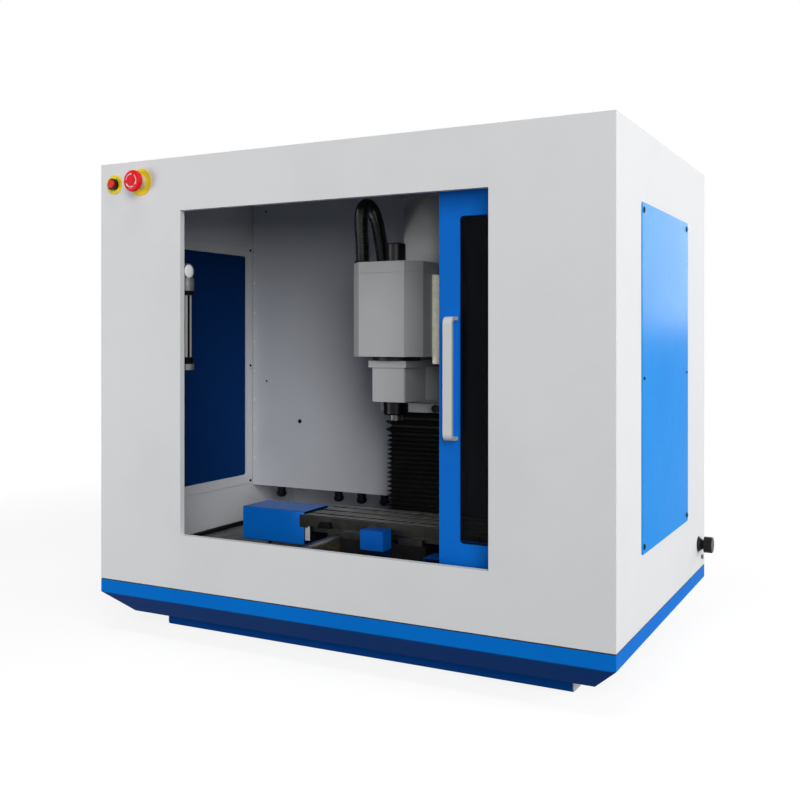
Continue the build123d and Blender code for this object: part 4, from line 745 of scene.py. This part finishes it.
def pleated_bellows(name, material):
    """Three-sided curtain: a U-shaped path round the column's front, pushed outwards at height z by
    a fold wave that is linear from valley to ridge; its inner face follows it one cloth thickness
    behind. The upper pleats are coarser and reach further."""
    bottom, top, reach, cloth = 146.0, 410.0, 10.0, 1.2
    fine_count, coarse_count, coarse_pitch, coarse_reach = 23, 3, 16.0, 1.25
    half_width, flange_y, front_y, bend = 69.0, 50.0, 43.0, 2.0
    straight_y, straight_half = 46.0, 60.0
    fine_pitch = (top - bottom - coarse_pitch * coarse_count) / fine_count
    pitches = np.array([fine_pitch] * fine_count + [coarse_pitch] * coarse_count)
    starts = bottom + np.concatenate([[0], np.cumsum(pitches)[:-1]])
    shares = np.array([0, 0.12, 0.38, 0.46, 0.5, 0.54, 0.62, 0.88])
    heights = np.append((starts[:, None] + shares[None] * pitches[:, None]).ravel(), top)
    fold = np.interp(
        shares, [0, 0.12, 0.46, 0.5, 0.54, 0.88, 1], [0, 0.06, 0.96, 1, 0.96, 0.06, 0])
    further = np.where(pitches > fine_pitch, coarse_reach, 1.0)
    swell = np.append((fold[None] * further[:, None]).ravel(), 0)
    turn = np.linspace(0, math.pi / 2, 5)[::-1]
    left_bend = np.column_stack([
        bend - half_width - bend * np.sin(turn), front_y + bend - bend * np.cos(turn)])
    left_side = np.column_stack([np.full(3, -half_width), np.linspace(flange_y, straight_y, 3)])
    front = np.column_stack([np.linspace(-straight_half, straight_half, 9), np.full(9, front_y)])
    path = np.concatenate([
        left_side, left_bend, front, left_bend[::-1] * (-1, 1), left_side[::-1] * (-1, 1)])
    along = np.gradient(path, axis=0)
    along /= np.linalg.norm(along, axis=1)[:, None]
    outward = np.column_stack([along[:, 1], -along[:, 0]])

    def layer(depth):
        flat = path[None] + outward[None] * (reach * swell[:, None, None] - depth)
        rise = np.broadcast_to(heights[:, None, None], (*flat.shape[:2], 1))
        return np.concatenate([flat, rise], axis=2)[None] * MM

    return put_mesh(name, *thick_sheets(layer(0.0), layer(cloth)), material, smooth=False)


bellows = pleated_bellows("pleated_bellows", bellows_black)
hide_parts("z_bellows")
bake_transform(bellows)


def threaded_screw(name, node, start, end, radius):
    """Ball screw along an axis: the radius dips by a rounded groove wherever the arc length in
    leads and the turn agree, so the groove winds once in each lead."""
    screw_lead, depth = 0.005, 0.0011

    def thread(s, a):
        groove = (0.5 + 0.5 * np.cos(TURN * s / screw_lead - a)) ** 2
        return radius * MM - depth * groove

    line = np.array([start, end]) * MM
    screw = swept_tube(
        name, line, step=screw_lead / 9, around=18, radius=thread, material=bright_steel)[0]
    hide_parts(node)
    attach(screw, node)


threaded_screw("x_ball_screw", "x_screw", (-170.7, -86, 186), (239, -86, 186), radius=6)
threaded_screw("y_ball_screw", "y_screw", (0, -222.5, 128), (0, 189.7, 128), radius=7)
threaded_screw("z_ball_screw", "z_screw", (0, 108, 150.3), (0, 108, 761.7), radius=8)

# Screws on the cabinet's access panels with their nuts inside, and the earth bolt
button_head = [
    (0, 0.9, 0), (1.9, 0.9, 1), (1.9, 2.35, 1), (3.0, 2.3, 0), (4.2, 1.9, 0), (4.9, 1.2, 0),
    (5.0, 0, 0), (0, 0, 0)]
small_head = [(0, 1.6, 0), (1.2, 1.6, 1), (1.2, 2.1, 1), (2.2, 1.9, 0), (2.5, 0, 0), (0, 0, 0)]
hex_bolt = [(0, 4.0, 0), (3.5, 4.0, 0), (4.0, 3.6, 1), (4.0, 0.0, 1), (0, 0, 0)]
hex_nut = [
    (0, 3.0, 0), (1.2, 3.0, 0), (1.4, 2.0, 0), (2.4, 2.0, 0), (2.7, 1.7, 1), (2.7, 0, 1),
    (0, 0, 0)]
panel_face, wall_face, cabinet_side = 501.5, 496.5, 500
screw_heights = screw_low, screw_middle, screw_high = 225, 493, 761
screw_rows = [(-1, -179, 143), (1, -171, 151)]
outer_screws, inner_nuts = [], []
for sign, near, far in screw_rows:
    corners = [(sign * panel_face, y, z) for y in (near, far) for z in (screw_low, screw_high)]
    halfway = [(sign * panel_face, y, screw_middle) for y in (near, far)]
    behind = [(sign * wall_face, y, z) for y in (near, far) for z in screw_heights]
    outer_screws.append(turned_studs(corners, (sign, 0, 0), button_head, around=24))
    outer_screws.append(turned_studs(halfway, (sign, 0, 0), small_head, around=24))
    inner_nuts.append(turned_studs(behind, (-sign, 0, 0), hex_nut, around=24))
screw_heads = put_mesh("access_screw_heads", *joined(*outer_screws), black_steel, smooth=False)
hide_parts("panel_screws")
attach(screw_heads, "cabinet")
bolt_shape = turned_studs([(cabinet_side, 300, 118)], (1, 0, 0), hex_bolt, around=24)
earth_bolt = put_mesh("earth_bolt", *bolt_shape, earth_steel, smooth=False)
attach(earth_bolt, "cabinet")
nuts = put_mesh("access_screw_nuts", *joined(*inner_nuts), black_steel, smooth=False)
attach(nuts, "cabinet")

# Black plugs in the liner's spare holes
liner_face = 153
plug = [(0, 1.2, 0), (4.2, 1.2, 0), (4.8, 0.6, 0), (4.8, 0, 0), (0, 0, 0)]
plug_small = [(0, 0.8, 0), (2.0, 0.8, 0), (2.3, 0.4, 0), (2.3, 0, 0), (0, 0, 0)]
plug_shapes = joined(
    turned_studs([(-365, liner_face, 367)], (0, -1, 0), plug),
    turned_studs([(-457, liner_face, 457), (-459, liner_face, 851)], (0, -1, 0), plug_small),
)
spare_plugs = put_mesh("liner_plugs", *plug_shapes, black_plastic, smooth=False)
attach(spare_plugs, "cabinet")

# Cable glands that hang from the liner's floor: a barrel, a wider ring and a domed cap
gland = [
    (0, 0, 0), (9.5, 0, 0), (9.5, 16, 0), (11.5, 17, 0), (11.5, 23, 0), (9.5, 26, 0), (6, 28, 0),
    (0, 28, 0)]
gland_places = [(x, 185, 214) for x in (-437, -281, -221, -162)]
gland_shapes = turned_studs(gland_places, (0, 0, -1), gland, around=28)
glands = put_mesh("hanging_glands", *gland_shapes, black_plastic, smooth=False)
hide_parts("cable_glands")
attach(glands, "cabinet")

# Dome rivets along the compartment liner's left edge
rivet = [(0, 1.9, 0), (1.4, 1.7, 0), (2.6, 1.0, 0), (3.1, 0, 0), (0, 0, 0)]
rivet_places = [(-492, liner_face, z) for z in range(276, 860, 68)]
rivet_shapes = turned_studs(rivet_places, (0, -1, 0), rivet, around=20)
rivets = put_mesh("liner_rivets", *rivet_shapes, rivet_steel)
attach(rivets, "cabinet")


def twist_arrows(name, centre, count, material):
    """Arrows printed round the mushroom: in each, the band between two radii is swept through an
    angle, then widens to a head that narrows to its tip; a thin slab follows the cap's face, which
    falls in a straight line from the hub to the rim."""
    shaft_share, shaft_half, head_half, tip_half = 0.74, 0.7, 1.75, 0.02
    shaft_steps, head_steps, print_radius = 14, 7, 12.0
    hub_radius, hub_rise, rim_radius, rim_rise = 8.0, 9.2, 15.5, 8.5
    print_top, print_sunk = 0.22, -0.1
    first, sweep = math.radians(172), math.radians(96)
    share = np.concatenate([
        np.linspace(0, shaft_share, shaft_steps), np.linspace(shaft_share, 1, head_steps)])
    half = np.concatenate([
        np.full(shaft_steps, shaft_half),
        head_half * (1 - share[shaft_steps:]) / (1 - shaft_share)])
    half[-1] = tip_half
    turns = first - np.arange(count)[:, None] * TURN / count - sweep * share[None]
    across = np.linspace(-1, 1, 5)
    radius = print_radius + half[None, :, None] * across[None, None]
    radius = np.broadcast_to(radius, (count, len(share), len(across)))
    rise = rim_rise + (rim_radius - radius) * (hub_rise - rim_rise) / (rim_radius - hub_radius)

    def layer(lift):
        x = centre[0] + radius * np.cos(turns)[:, :, None]
        z = centre[2] + radius * np.sin(turns)[:, :, None]
        y = centre[1] - rise - lift
        return np.stack([x, y, z], axis=-1) * MM

    return put_mesh(
        name, *thick_sheets(layer(print_top), layer(print_sunk)), material, smooth=False)


estop_centre = (-401, -347.5, 848)
arrows = twist_arrows("estop_arrows", estop_centre, count=3, material=arrow_white)
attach(arrows, "estop")


def lobed_grip(name, centre, lobes, material):
    """Low dome on the mushroom's middle: at a share of its radius and an angle the rim is scalloped
    by a cosine of the lobes, and the height falls from the crown to the cap's face."""
    grip_radius, scallop_depth = 9.0, 0.10
    share = np.array([0, 0.25, 0.5, 0.7, 0.85, 0.95, 1.0, 1.0, 0.0])
    height = np.array([10.3, 10.3, 10.3, 10.25, 10.2, 10.0, 9.6, 8.8, 8.8])
    angle = np.linspace(0, TURN, 72, endpoint=False)
    valleys = (0.5 + 0.5 * np.cos(lobes * angle[None])) ** 2
    radius = grip_radius * share[:, None] * (1 - scallop_depth * share[:, None] ** 3 * valleys)
    x = centre[0] + radius * np.cos(angle[None])
    z = centre[2] + radius * np.sin(angle[None])
    y = np.broadcast_to(centre[1] - height[:, None], x.shape)
    points = np.stack([x, y, z], axis=-1).reshape(-1, 3) * MM
    return put_mesh(name, points, grid_faces(len(share), len(angle)), material)


grip = lobed_grip("estop_grip", estop_centre, lobes=9, material=button_red)
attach(grip, "estop")


def ribbed_bar(name, low, high, pitch, material):
    """Diffuser bar: a squarish oval round the vertical axis, drawn in by a rounded wave along z."""
    around, squareness, rib_depth, steps = 40, 0.4, 0.10, 8
    low, high = np.array(low, float), np.array(high, float)
    z = np.linspace(low[2], high[2], int((high[2] - low[2]) / pitch * steps) + 1)
    half = (high[:2] - low[:2]) / 2
    drawn_in = 1 - rib_depth * (0.5 - 0.5 * np.cos(TURN * (z - low[2]) / pitch)) ** 2
    outline = squarish_oval(around, squareness) * half
    flat = low[:2] + half + outline[None] * drawn_in[:, None, None]
    rings = np.concatenate([flat, np.broadcast_to(z[:, None, None], (len(z), around, 1))], axis=2)
    return put_mesh(name, capped(rings) * MM, grid_faces(len(z) + 2, around), material)


bar = ribbed_bar(
    "head_light_diffuser", low=(74.5, -64, 508), high=(84.5, -50, 676), pitch=5.0,
    material=lamp_cream)
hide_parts("head_light_bar")
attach(bar, "head")

# Crowned lens of the work light
lens_profile = [
    (0, 2.1, 0), (4, 2.0, 0), (8, 1.6, 0), (11, 1.0, 0), (12.4, 0.4, 0), (12.4, 0, 0), (0, 0, 0)]
lens_shape = turned_studs([(-309.5, -303, 680.5)], (1, 0, 0), lens_profile, around=40)
lens = put_mesh("work_light_lens", *lens_shape, lens_white)
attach(lens, "cabinet")


def tray_seal(name, wall, material):
    """Half-round rubber cord in the corner of the tray and the left wall: a half circle, slightly
    uneven, swept along Y."""
    front, rear, middle_z, cord_radius = -322, 152, 131.0, 5.0
    uneven, wave_length = 0.25, 31.0
    y = np.linspace(front, rear, 80)
    angle = np.linspace(-math.pi / 2, math.pi / 2, 9)
    radius = cord_radius + uneven * np.sin(y / wave_length)[:, None]
    x = wall + radius * np.cos(angle)[None]
    z = middle_z + radius * np.sin(angle)[None]
    rings = np.stack([x, np.broadcast_to(y[:, None], x.shape), z], axis=-1)
    return put_mesh(name, capped(rings) * MM, grid_faces(len(y) + 2, len(angle)), material)


def seam_gasket(name, half_x, half_y, bottom, top, depth, material):
    """Rectangular ring in the seam over the base pan: a small rectangular section carried round the
    four corners."""
    signs = np.array([(-1, -1), (1, -1), (1, 1), (-1, 1)])
    inset = np.array([0, 0, depth, depth])
    heights = np.array([bottom, top, top, bottom])
    flat = signs[:, None] * (np.array((half_x, half_y)) - inset[:, None])[None]
    ring = np.concatenate([flat, np.broadcast_to(heights[None, :, None], (4, 4, 1))], axis=2)
    points = np.concatenate([ring, ring[:1]]).reshape(-1, 3) * MM
    return put_mesh(name, points, grid_faces(5, 4), material, smooth=False)


gasket = seam_gasket(
    "pan_seam_gasket", half_x=499.5, half_y=329.5, bottom=96.0, top=98.0, depth=0.7,
    material=black_plastic)
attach(gasket, "cabinet")

seal = tray_seal("tray_seal", wall=-498, material=black_plastic)
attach(seal, "cabinet")


def swarf(name, count, low, high, floor_z, material):
    """Curled chips on the tray: each is a narrow strip wound along a short helix of its own radius
    and turn, laid flat at a seeded place."""
    strip_width, half_thick, lift_off, seed = 1.3, 0.1, 0.1, 7
    draw = np.random.default_rng(seed)
    places = draw.uniform(low, high, (count, 2))
    heading = draw.uniform(0, TURN, count)[:, None, None]
    curl = draw.uniform(1.0, 2.4, count)[:, None, None]
    length = draw.uniform(2.5, 7.0, count)[:, None, None]
    turns = draw.uniform(0.7, 1.8, count)[:, None, None] * TURN
    along = np.linspace(0, 1, 18)[None, :, None]
    across = np.linspace(-0.5, 0.5, 3)[None, None]

    def layer(lift):
        axis = (along - 0.5) * length + across * strip_width
        wide = (curl + lift) * np.cos(turns * along)
        tall = curl + lift_off + (curl + lift) * np.sin(turns * along)
        x = places[:, 0, None, None] + axis * np.cos(heading) - wide * np.sin(heading)
        y = places[:, 1, None, None] + axis * np.sin(heading) + wide * np.cos(heading)
        z = np.broadcast_to(floor_z + tall, x.shape)
        return np.stack([x, y, z], axis=-1) * MM

    return put_mesh(name, *thick_sheets(layer(half_thick), layer(-half_thick)), material)


chips = swarf(
    "tray_swarf", count=70, low=(-205, -24), high=(-128, 22), floor_z=126.0, material=chip_brass)
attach(chips, "cabinet")


def plug_rounds(name, places, sign_of, half, thickness, material):
    """Squarish ovals that stand out along X: rings of the outline, shrunk a little towards the
    front face and drawn together at both ends."""
    around, squareness = 48, 0.25
    share = np.array([0, 1, 1, 0.97, 0.90, 0])
    rise = np.array([0, 0, 0.6, 0.9, 1, 1]) * thickness
    outline = squarish_oval(around, squareness) * half
    shells = []
    for (x, y, z), sign in zip(places, sign_of):
        flat = outline[None] * share[:, None, None] + np.array((y, z))
        out = np.broadcast_to((x + sign * rise)[:, None, None], (len(share), around, 1))
        points = np.concatenate([out, flat], axis=2).reshape(-1, 3) * MM
        shells.append((points, grid_faces(len(share), around)))
    return put_mesh(name, *joined(*shells), material, smooth=False)


# Pale plugs in the foot rails' ends
plug_places = [(x, y, 15) for x in (-407, 407) for y in (-224, 224)]
plugs = plug_rounds(
    "rail_plugs", plug_places, sign_of=(-1, -1, 1, 1), half=(19.5, 14.5), thickness=2.0,
    material=cap_grey)
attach(plugs, "cabinet")

# Lap plate on the table's front edge, which reaches over the motor cover's end
lap_plate = plug_rounds(
    "table_lap_plate", [(-160, -130.8, 202.5)], sign_of=(-1,), half=(0.7, 12.4), thickness=18.0,
    material=table_iron)
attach(lap_plate, "table")


def white_behind(finish, lit, seen):
    """Shader that lights the machine as lit, and shows as seen to the camera, in mirrors and
    through glass."""
    rays = ("Camera", "Glossy", "Transmission")
    eye, mirror, glass = [
        finish.node("ShaderNodeLightPath", output=f"Is {ray} Ray") for ray in rays]
    viewed = eye.above(mirror).above(glass)
    return finish.node("ShaderNodeMixShader", {}, {0: viewed, 1: lit, 2: seen})


# Stage: a pale floor that reads white, with the machine's soft shadow on it
floor_reach, shadow_reach, white_reach = 12.0, 1.2, 3.0
floor_finish = Finish("studio_white")
clouds = floor_finish.noise(2.5, detail=3)
across, deep, _ = floor_finish.axes()
away = ((across * across + deep * deep) ** 0.5).step(shadow_reach, white_reach)
floor_grey = floor_finish.mix((0.11, 0.11, 0.11), (0.10, 0.10, 0.10), clouds)
floor_white = floor_finish.mix((0.84, 0.84, 0.84), (1, 1, 1), away)
floor_lit = floor_finish.node("ShaderNodeBsdfDiffuse", {}, {0: floor_grey})
floor_shade = floor_finish.node("ShaderNodeBsdfDiffuse", {}, {0: (0.25, 0.25, 0.25, 1)})
floor_glow = floor_finish.node("ShaderNodeEmission", {}, {0: floor_white, 1: 1.0})
floor_seen = floor_finish.node("ShaderNodeAddShader", {}, {0: floor_shade, 1: floor_glow})
floor_shader = white_behind(floor_finish, floor_lit, floor_seen)
floor_finish.node("ShaderNodeOutputMaterial", {}, {0: floor_shader})
floor_points = np.array([(-1, -1, 0), (1, -1, 0), (1, 1, 0), (-1, 1, 0)]) * floor_reach
floor = put_mesh("studio_floor", floor_points, np.array([[0, 1, 2, 3]]), floor_finish.material)

studio = bpy.data.worlds.new("studio")
bpy.context.scene.world = studio
sky = Finish("studio", studio)
sky_white, sky_fill, sky_glow = (1, 1, 1, 1), 0.035, 1.0
sky_lit = sky.node("ShaderNodeBackground", {}, {0: sky_white, 1: sky_fill})
sky_seen = sky.node("ShaderNodeBackground", {}, {0: sky_white, 1: sky_glow})
sky.node("ShaderNodeOutputWorld", {}, {0: white_behind(sky, sky_lit, sky_seen)})


def softbox(name, place, target, wide, tall, power):
    """Rectangular area lamp at place that faces target."""
    lamp = bpy.data.lights.new(name, "AREA")
    lamp.shape = "RECTANGLE"
    lamp.size = wide
    lamp.size_y = tall
    lamp.energy = power
    box = bpy.data.objects.new(name, lamp)
    bpy.context.scene.collection.objects.link(box)
    aim = np.array(target) - np.array(place)
    tilt = math.pi / 2 + math.atan2(aim[2], math.hypot(aim[0], aim[1]))
    box.location = place
    box.rotation_euler = (tilt, 0, math.atan2(-aim[0], aim[1]))


softbox("front_softbox", (3.0, -4.1, 2.2), (0, 0, 0.5), wide=2.4, tall=3.6, power=155)
softbox("left_softbox", (-1.7, -2.1, 0.5), (0, -0.3, 0.4), wide=1.0, tall=1.0, power=21)
softbox("side_softbox", (4.2, 0.2, 1.1), (0.5, 0, 0.5), wide=2.4, tall=2.0, power=101)
softbox("rear_softbox", (1.2, 2.6, 1.10), (0.5, 0, 0.9), wide=1.3, tall=1.0, power=21)
softbox("top_softbox", (0.1, -0.8, 3.2), (0.1, -0.33, 0.2), wide=1.8, tall=0.7, power=17)

# Camera from the photo's vanishing points: level, and turned towards the left
look_left, look_back = 0.4643, 0.8857
camera = bpy.data.cameras.new("camera")
camera.lens = 44.8
camera.sensor_width = 36
camera.shift_y = -0.0775
camera.dof.use_dof = False
viewpoint = bpy.data.objects.new("camera", camera)
bpy.context.scene.collection.objects.link(viewpoint)
viewpoint.location = (0.8925, -1.7535, 0.557)
viewpoint.rotation_euler = (math.pi / 2, 0, math.atan2(look_left, look_back))
bpy.context.scene.camera = viewpoint

bpy.context.scene.view_settings.view_transform = "Standard"
